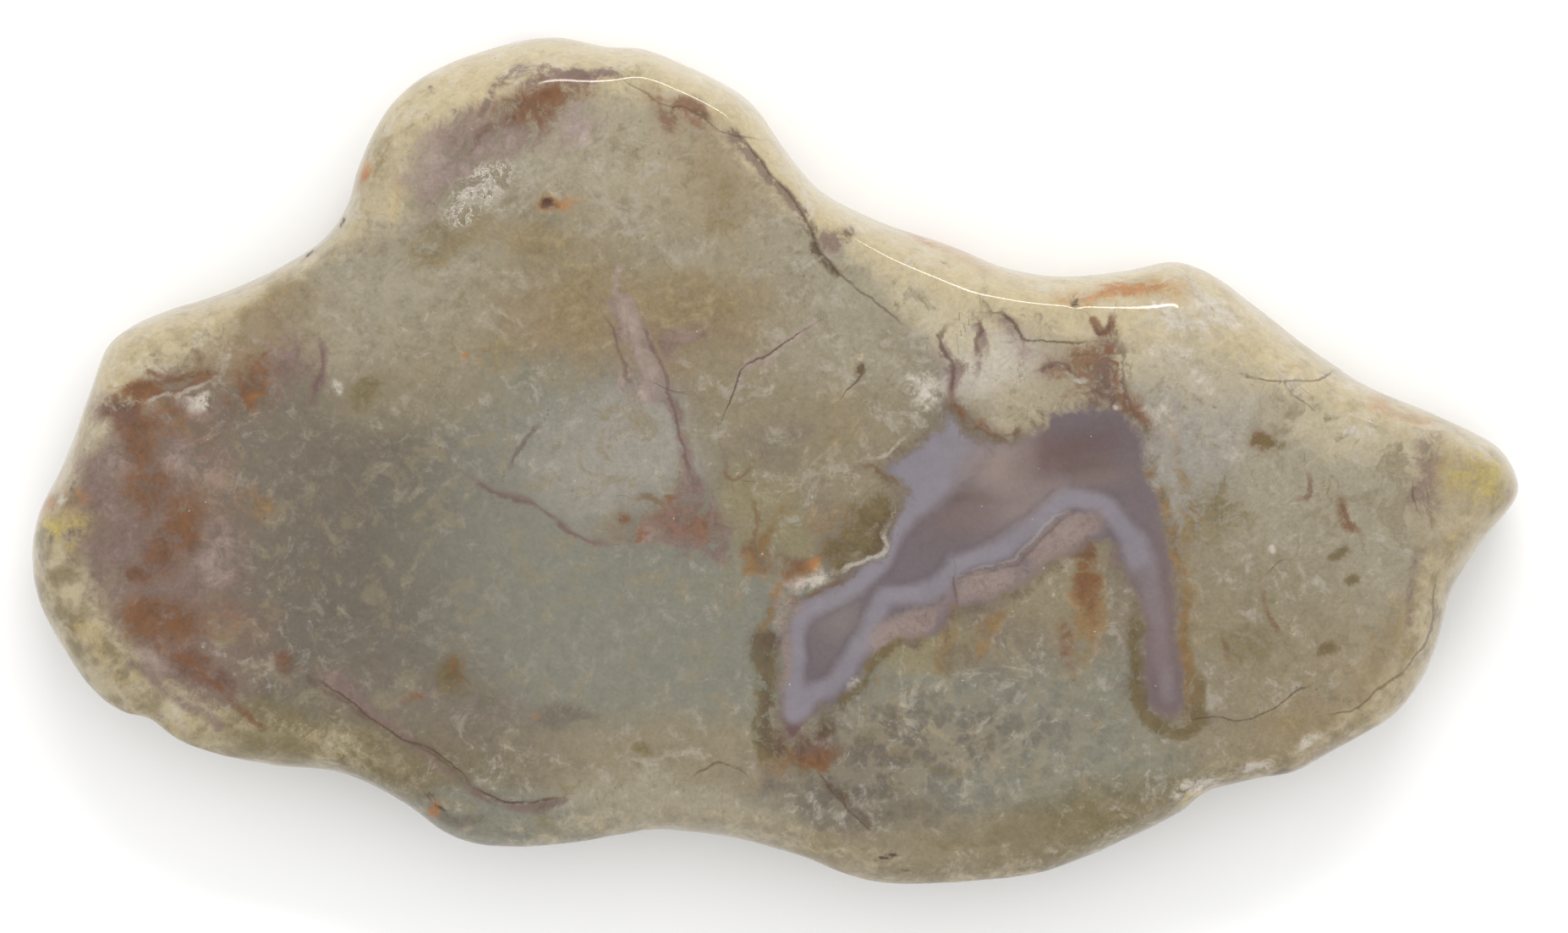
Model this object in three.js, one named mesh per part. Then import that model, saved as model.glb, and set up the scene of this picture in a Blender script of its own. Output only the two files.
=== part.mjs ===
// Polished slab of an agatised dinosaur coprolite, lying on its sawn underside.
// Millimetres, +X along the slab, +Y across it towards its rounded lobe, +Z up.
// The origin is under the middle of the slab's bounding box, on the surface it lies on.
import * as THREE from "three";

// Driving sizes
const THICKNESS = 9; // underside to the highest part of the polished face
const CROWN = 0.7; // how much lower the polished face is at the rim than in the middle
const HALF_LENGTH = 44;
const HALF_WIDTH = 25;

// The saw cut runs at a slant, so the wall leans: it slopes out to the foot on the side
// that LEAN points to, and is undercut on the side that faces away.
const LEAN = new THREE.Vector2(0.35, 0.94);
const WAIST_HEIGHT = 0.5; // share of the thickness at which the slab is widest
const WAIST_SHIFT = 0.21; // by how much the lean lowers or raises that
const FOOT_INSET = 2.1; // from the widest line in to the edge of the flat underside
const FOOT_SHIFT = 1.2;
const WALL_POWER = 1.8; // 2 gives an elliptic wall, less a straighter slope
const WALL_SPREAD = 0.018; // share of the way round over which the wall's lean evens out

// The wall keeps the lumps of the rough stone: each row says how many lumps go once round
// the slab, where they start, how far they move the foot, and how far the waist.
const WALL_LUMPS = [
  { count: 9, start: 0.4, foot: 0.35, waist: 0.5 },
  { count: 17, start: 2.1, foot: 0.22, waist: 0.3 },
  { count: 31, start: 4.0, foot: 0.1, waist: 0.12 },
];

// The widest line, counterclockwise from the right tip: x, y, and the width of the
// rounded shoulder between that line and the polished face.
const OUTLINE = [
  [43.9, -1.3, 1.9],
  [42.9, 0.6, 1.9],
  [39.2, 2.6, 2.2],
  [34.6, 4.6, 2.6],
  [32.9, 5.8, 2.9],
  [29.0, 8.7, 3.3],
  [26.6, 10.5, 3.6],
  [25.0, 11.4, 3.5],
  [23.5, 11.75, 3.2],
  [20.8, 11.2, 2.6],
  [16.6, 10.9, 2.1],
  [13.7, 11.4, 2.2],
  [10.7, 12.6, 2.6],
  [6.6, 14.0, 2.2],
  [2.7, 15.9, 1.6],
  [0.25, 18.8, 1.5],
  [-1.0, 20.6, 1.6],
  [-2.0, 21.6, 1.8],
  [-5.1, 23.3, 1.9],
  [-7.7, 24.3, 2.0],
  [-9.8, 24.5, 2.5],
  [-12.8, 25.05, 3.2],
  [-15.9, 24.7, 3.6],
  [-20.2, 23.1, 3.2],
  [-22.7, 21.0, 2.6],
  [-24.6, 17.4, 2.0],
  [-25.4, 14.9, 1.8],
  [-27.1, 12.8, 1.7],
  [-31.7, 10.3, 1.8],
  [-37.6, 8.2, 2.2],
  [-39.5, 6.8, 2.3],
  [-40.6, 3.6, 2.2],
  [-42.1, -0.2, 2.1],
  [-43.7, -3.5, 2.0],
  [-43.85, -7.1, 2.0],
  [-42.5, -10.5, 1.9],
  [-40.0, -13.9, 1.8],
  [-38.4, -14.95, 1.7],
  [-37.0, -15.3, 1.6],
  [-34.8, -16.8, 1.5],
  [-29.7, -18.1, 1.4],
  [-25.5, -18.6, 1.4],
  [-21.9, -20.4, 1.5],
  [-19.6, -22.0, 1.6],
  [-17.2, -22.8, 1.6],
  [-12.8, -22.75, 1.5],
  [-9.1, -22.2, 1.4],
  [-7.1, -21.9, 1.4],
  [-2.6, -22.4, 1.4],
  [1.1, -23.3, 1.5],
  [4.5, -24.65, 1.6],
  [6.2, -25.05, 1.7],
  [11.7, -24.9, 1.7],
  [16.4, -24.2, 1.6],
  [21.0, -22.4, 1.5],
  [23.9, -20.9, 1.3],
  [25.4, -19.7, 1.3],
  [28.5, -18.9, 1.4],
  [30.6, -18.5, 1.4],
  [33.5, -16.9, 1.5],
  [37.0, -14.7, 1.7],
  [38.9, -11.6, 1.8],
  [40.2, -7.6, 1.8],
  [41.9, -4.8, 1.8],
  [43.8, -2.3, 1.9],
];

// Long, low waves that tumbling leaves in the polished face: height, wavelengths along
// x and y, and where each wave starts.
const WAVES = [
  { height: 0.12, along: 58, across: 47, start: 0.6 },
  { height: 0.07, along: -31, across: 22, start: 1.9 },
  { height: 0.04, along: 15, across: -19, start: 0.2 },
];

// How finely the surface is divided
const AROUND = 168;
const SHOULDER_RINGS = 7;
const FACE_RINGS = 13;
const FOOT_RINGS = 5;
const WALL_MARGIN = 1.05; // the wall's rings reach this many times its width in from the edge
const LEAST_SQUARENESS = 0.4; // of a section to the wall: limits how far its rings spread
const DEEPEST_WALL = 0.8; // share of the way to the spine that the wall's rings may take
const SPINE_CENTRE = new THREE.Vector2(-1, -1.5); // the rings close on a line, the spine
const SPINE_HALF = 22;
const SPINE_FAN = 9; // steps each way round an end of the spine that all meet in that end
const EDGE_SAMPLES = 720; // points of the widest line that distances are taken from

const outlineCurve = new THREE.CatmullRomCurve3(
  OUTLINE.map(([x, y, shoulder]) => new THREE.Vector3(x, y, shoulder)),
  true,
  "centripetal",
);
outlineCurve.arcLengthDivisions = 4 * EDGE_SAMPLES;
const edge = outlineCurve.getSpacedPoints(EDGE_SAMPLES).slice(0, EDGE_SAMPLES);

// Distance from a point to the widest line, over its short straight steps.
function distanceToEdge(x, y) {
  let nearest = Infinity;
  for (let i = 0; i < edge.length; i++) {
    const a = edge[i];
    const b = edge[(i + 1) % edge.length];
    const [dx, dy] = [b.x - a.x, b.y - a.y];
    const along = ((x - a.x) * dx + (y - a.y) * dy) / (dx * dx + dy * dy);
    const share = THREE.MathUtils.clamp(along, 0, 1);
    nearest = Math.min(nearest, Math.hypot(x - a.x - share * dx, y - a.y - share * dy));
  }
  return nearest;
}

// Height of the polished face: a shallow crown with the long waves on it.
function faceHeight(x, y) {
  const fromMiddle = (x / HALF_LENGTH) ** 2 + (y / HALF_WIDTH) ** 2;
  const waves = WAVES.map(
    (w) => w.height * Math.sin(2 * Math.PI * (x / w.along + y / w.across) + w.start),
  );
  return THICKNESS - CROWN * fromMiddle + waves.reduce((sum, wave) => sum + wave, 0);
}

// Rise of the wall from 0 at the widest line to 1 where it meets the face.
function wallRise(share) {
  const left = 1 - THREE.MathUtils.clamp(share, 0, 1);
  return (1 - left ** WALL_POWER) ** (1 / WALL_POWER);
}

// The step along the spine that a step round the slab leads to: there on one side of the
// slab and back on the other, waiting at both ends while the sections fan round them.
function spineStep(i) {
  return THREE.MathUtils.clamp(Math.min(i, AROUND - i), SPINE_FAN, AROUND / 2 - SPINE_FAN);
}

function spinePoint(i) {
  const share = (spineStep(i) - SPINE_FAN) / (AROUND / 2 - 2 * SPINE_FAN);
  return new THREE.Vector2(SPINE_HALF * Math.cos(Math.PI * share), 0).add(SPINE_CENTRE);
}

// The way out of the slab, evened out over the stretch of wall next to a turn.
function outwardAt(turn) {
  const ahead = outlineCurve.getPointAt((turn + WALL_SPREAD) % 1);
  const behind = outlineCurve.getPointAt((turn + 1 - WALL_SPREAD) % 1);
  return new THREE.Vector2(ahead.y - behind.y, behind.x - ahead.x).normalize();
}

// One section for each step round the slab: a point of the widest line, the way in from
// it to the spine, and the sizes of the wall there.
const sections = Array.from({ length: AROUND }, (_, i) => {
  const turn = i / AROUND;
  const at = outlineCurve.getPointAt(turn);
  const outward = outwardAt(turn);
  const inward = spinePoint(i).sub(new THREE.Vector2(at.x, at.y));
  const reach = inward.length();
  inward.normalize();
  const lean = outward.dot(LEAN);
  const swing = (w) => Math.sin(2 * Math.PI * w.count * turn + w.start);
  const lumps = (size) => WALL_LUMPS.reduce((sum, w) => sum + w[size] * swing(w), 0);
  return {
    at,
    inward,
    reach,
    squareness: Math.max(-outward.dot(inward), LEAST_SQUARENESS),
    shoulder: at.z,
    foot: FOOT_INSET - FOOT_SHIFT * lean + lumps("foot"),
    waist: THICKNESS * (WAIST_HEIGHT - WAIST_SHIFT * lean) + lumps("waist"),
  };
});

// Each ring is one height level round the slab, from the spine on the polished face out
// over the shoulder to the widest line, and in under it to the edge of the flat underside.
function ringOf(inset, height) {
  return sections.map((s) => {
    const step = inset(s);
    const x = s.at.x + s.inward.x * step;
    const y = s.at.y + s.inward.y * step;
    return new THREE.Vector3(x, y, height(s, x, y));
  });
}

const insetAcross = (s, width) => Math.min(width / s.squareness, DEEPEST_WALL * s.reach);
const shoulderInset = (s) => insetAcross(s, WALL_MARGIN * s.shoulder);
const footInset = (s) => insetAcross(s, WALL_MARGIN * s.foot);
const shoulderHeight = (s, x, y) =>
  s.waist + (faceHeight(x, y) - s.waist) * wallRise(distanceToEdge(x, y) / s.shoulder);
const footHeight = (s, x, y) => s.waist * (1 - wallRise(distanceToEdge(x, y) / s.foot));
const ground = () => 0;

// Share of the way in from the widest line, with the closest steps next to that line.
const shareIn = (j, rings) => 1 - Math.cos(((j / rings) * Math.PI) / 2);

const rings = [];
for (let j = 0; j < FACE_RINGS; j++) {
  const outwards = j / FACE_RINGS;
  const inset = (s) => s.reach + (shoulderInset(s) - s.reach) * outwards;
  rings.push(ringOf(inset, shoulderHeight));
}
for (let j = SHOULDER_RINGS; j >= 0; j--) {
  const share = shareIn(j, SHOULDER_RINGS);
  rings.push(ringOf((s) => shoulderInset(s) * share, shoulderHeight));
}
for (let j = 1; j <= FOOT_RINGS; j++) {
  const share = shareIn(j, FOOT_RINGS);
  const height = j < FOOT_RINGS ? footHeight : ground;
  rings.push(ringOf((s) => footInset(s) * share, height));
}
rings.push(ringOf((s) => s.reach, ground));

// Joins the rings with triangles. On both ends the ring lies doubled along the spine, so
// its two halves share their points and the surface closes.
function closedSurface() {
  const positions = rings.flat().flatMap((p) => [p.x, p.y, p.z]);
  const last = rings.length - 1;
  const corner = (ring, i) => {
    const step = i % AROUND;
    const onSpine = ring === 0 || ring === last;
    return ring * AROUND + (onSpine ? spineStep(step) : step);
  };
  const triangles = [];
  const add = (a, b, c) => {
    const hasArea = a !== b && b !== c && c !== a;
    if (hasArea) triangles.push(a, b, c);
  };
  for (let ring = 0; ring < last; ring++) {
    for (let i = 0; i < AROUND; i++) {
      const [a, b] = [corner(ring, i), corner(ring, i + 1)];
      const [c, d] = [corner(ring + 1, i), corner(ring + 1, i + 1)];
      add(a, c, d);
      add(a, d, b);
    }
  }
  const geometry = new THREE.BufferGeometry();
  geometry.setAttribute("position", new THREE.Float32BufferAttribute(positions, 3));
  geometry.setIndex(triangles);
  geometry.computeVertexNormals();
  return geometry;
}

const slabGeometry = closedSurface();
slabGeometry.computeBoundingBox();
const middle = slabGeometry.boundingBox.getCenter(new THREE.Vector3());
slabGeometry.translate(-middle.x, -middle.y, 0);

const polishedStone = new THREE.MeshStandardMaterial({
  color: 0xa79b80,
  roughness: 0.22,
  metalness: 0,
});
const slab = new THREE.Mesh(slabGeometry, polishedStone);
slab.name = "coprolite_slab";

const coprolite = new THREE.Group();
coprolite.add(slab);

export default coprolite;
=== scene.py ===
"""A polished slab of agatised dinosaur coprolite on a pale floor, seen from straight above.

The slab is one surface, worked out from its outline. The colours of the stone are drawn on it
as fields of pigment, which the stone's material turns into broken, cloudy edges.
"""

import bpy
import numpy as np
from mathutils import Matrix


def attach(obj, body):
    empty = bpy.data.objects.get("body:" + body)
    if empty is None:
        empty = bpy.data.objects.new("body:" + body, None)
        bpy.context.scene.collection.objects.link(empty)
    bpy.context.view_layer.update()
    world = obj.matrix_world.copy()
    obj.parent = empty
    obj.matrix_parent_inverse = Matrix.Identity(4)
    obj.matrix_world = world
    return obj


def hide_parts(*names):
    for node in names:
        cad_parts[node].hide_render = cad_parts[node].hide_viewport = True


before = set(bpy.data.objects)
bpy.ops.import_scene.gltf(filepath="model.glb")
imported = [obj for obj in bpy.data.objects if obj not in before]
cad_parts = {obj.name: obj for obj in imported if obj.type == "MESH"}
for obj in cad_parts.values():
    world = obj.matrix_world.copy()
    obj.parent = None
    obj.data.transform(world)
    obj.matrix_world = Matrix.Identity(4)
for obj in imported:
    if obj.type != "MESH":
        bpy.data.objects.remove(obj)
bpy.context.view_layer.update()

bl_info = {
    "name": "Coprolite Slab",
    "version": (1, 0, 0),
    "blender": (4, 5, 0),
    "location": "View3D > Sidebar > Coprolite",
    "description": "Builds a polished slab of agatised dinosaur coprolite, and a stage for it",
    "category": "Add Mesh",
}

NODE = "coprolite_slab"
MM = 0.001


def srgb(red, green, blue):
    """A colour given as on a screen, from 0 to 255, as the linear colour that Blender keeps."""
    share = np.array([red, green, blue]) / 255
    linear = np.where(share > 0.04045, ((share + 0.055) / 1.055) ** 2.4, share / 12.92)
    return tuple(float(c) for c in linear)


# The slab, in millimetres

HALF_LENGTH = 44
HALF_WIDTH = 25

# The wall leans: it slopes out to the foot on the side that LEAN points to.
LEAN = np.array([0.35, 0.94])
WAIST_HEIGHT = 0.5  # share of the thickness at which the slab is widest
WAIST_SHIFT = 0.21
FOOT_INSET = 2.1
FOOT_SHIFT = 1.2
WALL_POWER = 1.8
WALL_SPREAD = 0.018
WALL_MARGIN = 1.05
DEEPEST_WALL = 0.8  # the furthest that the wall goes in, as a share of the way to the spine
LEAST_SQUARENESS = 0.4  # the least that the way in counts as square to the edge

# How often round the slab, where it starts, and how far it moves the foot and the waist
WALL_LUMPS = [(9, 0.4, 0.35, 0.5), (17, 2.1, 0.22, 0.3), (31, 4, 0.1, 0.12)]

# The widest line, counterclockwise from the right tip: x, y, width of the rounded shoulder
OUTLINE = np.array([
    (43.9, -1.3, 1.9), (42.9, 0.6, 1.9), (39.2, 2.6, 2.2), (34.6, 4.6, 2.6), (32.9, 5.8, 2.9),
    (29, 8.7, 3.3), (26.6, 10.5, 3.6), (25, 11.4, 3.5), (23.5, 11.75, 3.2), (20.8, 11.2, 2.6),
    (16.6, 10.9, 2.1), (13.7, 11.4, 2.2), (10.7, 12.6, 2.6), (6.6, 14, 2.2), (2.7, 15.9, 1.6),
    (0.25, 18.8, 1.5), (-1, 20.6, 1.6), (-2, 21.6, 1.8), (-5.1, 23.3, 1.9), (-7.7, 24.3, 2),
    (-9.8, 24.5, 2.5), (-12.8, 25.05, 3.2), (-15.9, 24.7, 3.6), (-20.2, 23.1, 3.2),
    (-22.7, 21, 2.6), (-24.6, 17.4, 2), (-25.4, 14.9, 1.8), (-27.1, 12.8, 1.7), (-31.7, 10.3, 1.8),
    (-37.6, 8.2, 2.2), (-39.5, 6.8, 2.3), (-40.6, 3.6, 2.2), (-42.1, -0.2, 2.1), (-43.7, -3.5, 2),
    (-43.85, -7.1, 2), (-42.5, -10.5, 1.9), (-40, -13.9, 1.8), (-38.4, -14.95, 1.7),
    (-37, -15.3, 1.6), (-34.8, -16.8, 1.5), (-29.7, -18.1, 1.4), (-25.5, -18.6, 1.4),
    (-21.9, -20.4, 1.5), (-19.6, -22, 1.6), (-17.2, -22.8, 1.6), (-12.8, -22.75, 1.5),
    (-9.1, -22.2, 1.4), (-7.1, -21.9, 1.4), (-2.6, -22.4, 1.4), (1.1, -23.3, 1.5),
    (4.5, -24.65, 1.6), (6.2, -25.05, 1.7), (11.7, -24.9, 1.7), (16.4, -24.2, 1.6),
    (21, -22.4, 1.5), (23.9, -20.9, 1.3), (25.4, -19.7, 1.3), (28.5, -18.9, 1.4),
    (30.6, -18.5, 1.4), (33.5, -16.9, 1.5), (37, -14.7, 1.7), (38.9, -11.6, 1.8),
    (40.2, -7.6, 1.8), (41.9, -4.8, 1.8), (43.8, -2.3, 1.9),
])

# Waves in the polished face: height, wavelengths along x and y, start
WAVES = [(0.12, 58, 47, 0.6), (0.07, -31, 22, 1.9), (0.04, 15, -19, 0.2)]

# What the polish does to the colours: white that it reflects, and how much deeper they are
POLISH_VEIL = 0.05
STONE_DEPTH = 0.77
DARKEST = 0.004
AGATE_IOR = 1.54
RIPPLE_RELIEF = 0.003  # of the ripple that tumbling leaves, in millimetres
ROUGH_RELIEF = 0.05  # of the patch that the polish left rough

FULLEST = 0.98  # the most that one blot or stroke covers
WANDER = [(3.6, 0.5), (1.7, 0.4), (0.9, 0.3)]  # wavelength of the bends, and their size

# How finely the surface is divided
AROUND = 720
OUTLINE_STEPS = 60
FACE_RINGS = 74
SHOULDER_RINGS = 14
FOOT_RINGS = 12
UNDERSIDE_RINGS = 12
SPINE_CENTRE = np.array([-1, -1.5])
SPINE_HALF = 22
SPINE_FAN = 40

# Open pits in the surface: x, y, radius, depth
PITS = [
    (-13.1, 15, 0.42, 0.3), (17.6, 9.4, 0.32, 0.3), (-42.1, -2.4, 0.6, 0.25),
    (9.9, 11.6, 0.3, 0.12),
]
RIPPLES = [(4.5, 0.013, 11), (1.7, 0.005, 12)]  # wavelength, height and seed
RIPPLE_DROP = 0.012
WALL_ROUGHNESS = [(3.2, 0.1, 21), (1.3, 0.04, 22)]

# The wall's small lumps: about how far apart the sections are at the edge, how many of them
# lead up to the seam without lumps, how far in the lumps go, and how flat they are
EDGE_STEP = 0.32
SEAM_STEPS = 12
LUMPS_REACH = 1.2
LUMPS_SQUASH = 1.5
FLAT_FOOT = 0.05  # no lumps below this height
PIT_SHARPNESS = 1.2

LATTICE = 256  # points along a side of the noise's lattice, after which it repeats

# How the marks drift as they run down: along x and y for each millimetre, how much that
# changes from place to place, and from where on
DRIFT = np.array([0.12, -0.08])
DRIFT_CHANGE = 0.25
DRIFT_WAVELENGTH = 9
DRIFT_TOP = 9

# Where the lower wall is darkened, partly its own colour and partly painted shade under the
# edge: below what height, over how much of it, how far in
WALL_TOP = 6
WALL_FADE = 4
WALL_DEPTH = 3.5
UNDERSIDE_RIND = 1.6  # how much narrower the rind is on the underside

GROUND_SHARE = 0.02  # how much of the first tint is everywhere in the ground
FAR_ACROSS = 50.0  # the most half widths that are told apart beside a line

# Over how many millimetres a line fades out beside it, and towards its ends
SIDE_FADE = 0.4
END_FADE = 0.8

# Colours of the stone: what a property is called, and its default as red, green and blue
TINTS = {name: srgb(*shade) for name, shade in {
    "slate": (119, 111, 99), "taupe": (132, 121, 107), "sage": (140, 138, 124),
    "stone": (152, 140, 116), "fawn": (155, 135, 107), "khaki": (150, 139, 108),
    "moss": (130, 118, 88), "linen": (167, 158, 137), "pale": (165, 158, 147),
    "sand": (180, 168, 143), "straw": (184, 163, 116), "clay": (139, 119, 107),
    "cream": (203, 190, 160), "ivory": (206, 191, 157), "rind": (163, 149, 121),
    "mauve": (133, 112, 105), "plum": (110, 86, 80), "pink": (168, 150, 141),
    "rust": (126, 91, 66), "ochre": (144, 116, 80), "tan": (150, 133, 101),
    "sienna": (132, 99, 80), "umber": (96, 78, 62), "olive": (116, 101, 70),
    "orange": (180, 124, 74), "yellow": (190, 171, 104), "white": (206, 197, 183),
    "dark": (56, 44, 38), "lavender": (148, 142, 149), "agate": (120, 109, 112),
}.items()}

# Broad patches of ground colour: tint, x, y, half length, half width, turn in degrees
GROUND_PATCHES = [
    ("sand", -7, 17.4, 5, 3, -15), ("fawn", -3.4, 15.8, 2.2, 3, 30), ("stone", -12, 12, 6, 3, 0),
    ("linen", -20.5, 11, 4, 3, 20), ("linen", -10.5, 18.5, 3, 2, 0),
    ("fawn", -12.6, 8.6, 3, 2, 10), ("fawn", -4.4, 8.8, 4, 2, -8), ("linen", -3.5, 12.4, 4, 2, 0),
    ("linen", 2, 10.8, 3, 3, -40), ("cream", 8.6, 9.6, 4, 1, -38), ("linen", 3.5, 6, 3, 2, -30),
    ("fawn", -30.5, 8, 3.5, 1.6, 15), ("linen", -25.4, 9.6, 3, 2, 20),
    ("stone", -20, 5.4, 4, 2.6, 0), ("sage", -15, 3, 3, 2.4, 0), ("slate", -24.5, -3.6, 5.4, 5, 0),
    ("taupe", -30.5, -1, 4, 4, 0), ("clay", -37.5, -2, 3.6, 7, 0), ("clay", -35.5, -9, 4, 4, 0),
    ("slate", -23, -9.4, 5, 3.6, 0), ("sage", -18, -5.6, 3, 5, 0), ("sage", -11.6, -7.4, 6, 4, 0),
    ("pale", -11.2, 0.4, 3.6, 2.4, 0), ("sage", -6.4, -13, 6, 2.4, 0),
    ("sage", -3.6, -9.4, 3, 3, 0), ("stone", -5.5, -17, 6, 1.6, 0), ("stone", 2.6, 2, 3.2, 3, 0),
    ("stone", -1.2, 4.6, 2.4, 2, 0), ("taupe", 1, 0.6, 1.4, 1.4, 0),
    ("khaki", -0.4, -3.6, 1.4, 2, 0), ("taupe", -20, -15, 5, 2.4, -20),
    ("moss", -26, -17, 7, 1.2, -8), ("sage", -15.5, -21.4, 4, 1.4, -8),
    ("linen", -6, -20.6, 5.5, 1.5, 0), ("slate", 5, -19.8, 4.4, 1.6, -12),
    ("slate", 10.4, -16, 5, 1.8, 0), ("sage", 14, -13.6, 7, 1.8, 0),
    ("sage", 17, -18.4, 5, 1.8, 8), ("stone", 9, -23.2, 6, 1.4, 0), ("moss", 20, -21, 6, 1.6, 16),
    ("khaki", 8.8, -10.4, 2, 1.4, 0), ("taupe", 14, -10.6, 2.6, 2, 0),
    ("stone", 16.6, -7.6, 2, 3, 0), ("pale", 25, 2.6, 2.4, 3.4, 0),
    ("cream", 24.4, 6.2, 4, 1.6, -20), ("linen", 29.6, -2, 2.6, 3.6, 0),
    ("stone", 30, -8.6, 4, 3.4, 0), ("linen", 34.8, -5.4, 2, 5, 0), ("fawn", 33, -13, 5, 2.2, 28),
    ("stone", 27, -14.4, 4, 2, 10), ("straw", 41.4, -1, 2.2, 1.4, 0),
    ("sand", 39, -2.4, 1.6, 2.6, 0), ("fawn", 38, -9, 1.6, 4, -12), ("white", 13.4, 6, 1.6, 1, 0),
    ("sand", 16, 4.6, 2, 1.6, 0), ("cream", 34, 2, 3, 1.6, -25),
]

# The rind: index of an outline point, width of the band, how much ivory is in it, its strength
RIND = [
    (0, 2.6, 0.45, 0.9), (2, 2.4, 0.7, 0.9), (5, 3.8, 0.85, 1), (7, 4.6, 0.95, 1), (10, 3.6, 1, 1),
    (13, 3, 1, 1), (15, 2.2, 0.9, 1), (18, 2.8, 1, 1), (21, 3.4, 1, 1), (23, 4.2, 0.95, 1),
    (25, 2.8, 0.5, 1), (27, 1.4, 0.4, 0.8), (29, 3.2, 0.75, 1), (31, 3.4, 0.8, 1),
    (32, 1.6, 0.4, 0.9), (34, 3.4, 0.15, 0.95), (36, 4, 0.1, 0.9), (38, 3, 0.35, 0.8),
    (41, 3, 0.1, 0.5), (43, 2.4, 0, 0.35), (46, 2.2, 0, 0.45), (50, 2.6, 0.1, 0.45),
    (54, 2.2, 0, 0.35), (56, 2.4, 0.1, 0.45), (58, 2.2, 0.1, 0.5), (60, 2.6, 0.3, 0.75),
    (62, 2.8, 0.4, 0.85), (64, 2.4, 0.4, 0.8),
]

# Where pale cells show, where the ground is even, and where the polish failed, which also
# carries a painted glint of white threads: x, y, half length, half width, turn in degrees,
# strength
FROST = [
    (10, -17, 9, 3.2, 0, 1), (-21, 9, 5, 3.4, 20, 0.8), (-14, 12, 4, 2.5, 0, 0.5),
    (24, 4, 5, 2.4, 0, 0.9), (-6, 15, 5, 4, 0, 0.7), (-31, 8, 5, 2, 20, 0.7),
    (34, -12, 5, 3, 40, 0.5), (-41, -9, 3, 4, 0, 0.6),
]
CALM = [
    (-15, -6, 7, 6, 0, 1), (-8, -12, 8, 4, 0, 1), (-25, -3, 6, 6, 0, 1), (-21, -11, 6, 4, 0, 0.9),
    (2, 1, 2, 2, 0, 0.4),
]
UNPOLISHED = [(-17.1, 15.9, 2, 1, 35, 1.1), (-18, 14.2, 1, 0.6, 20, 0.9)]

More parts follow.
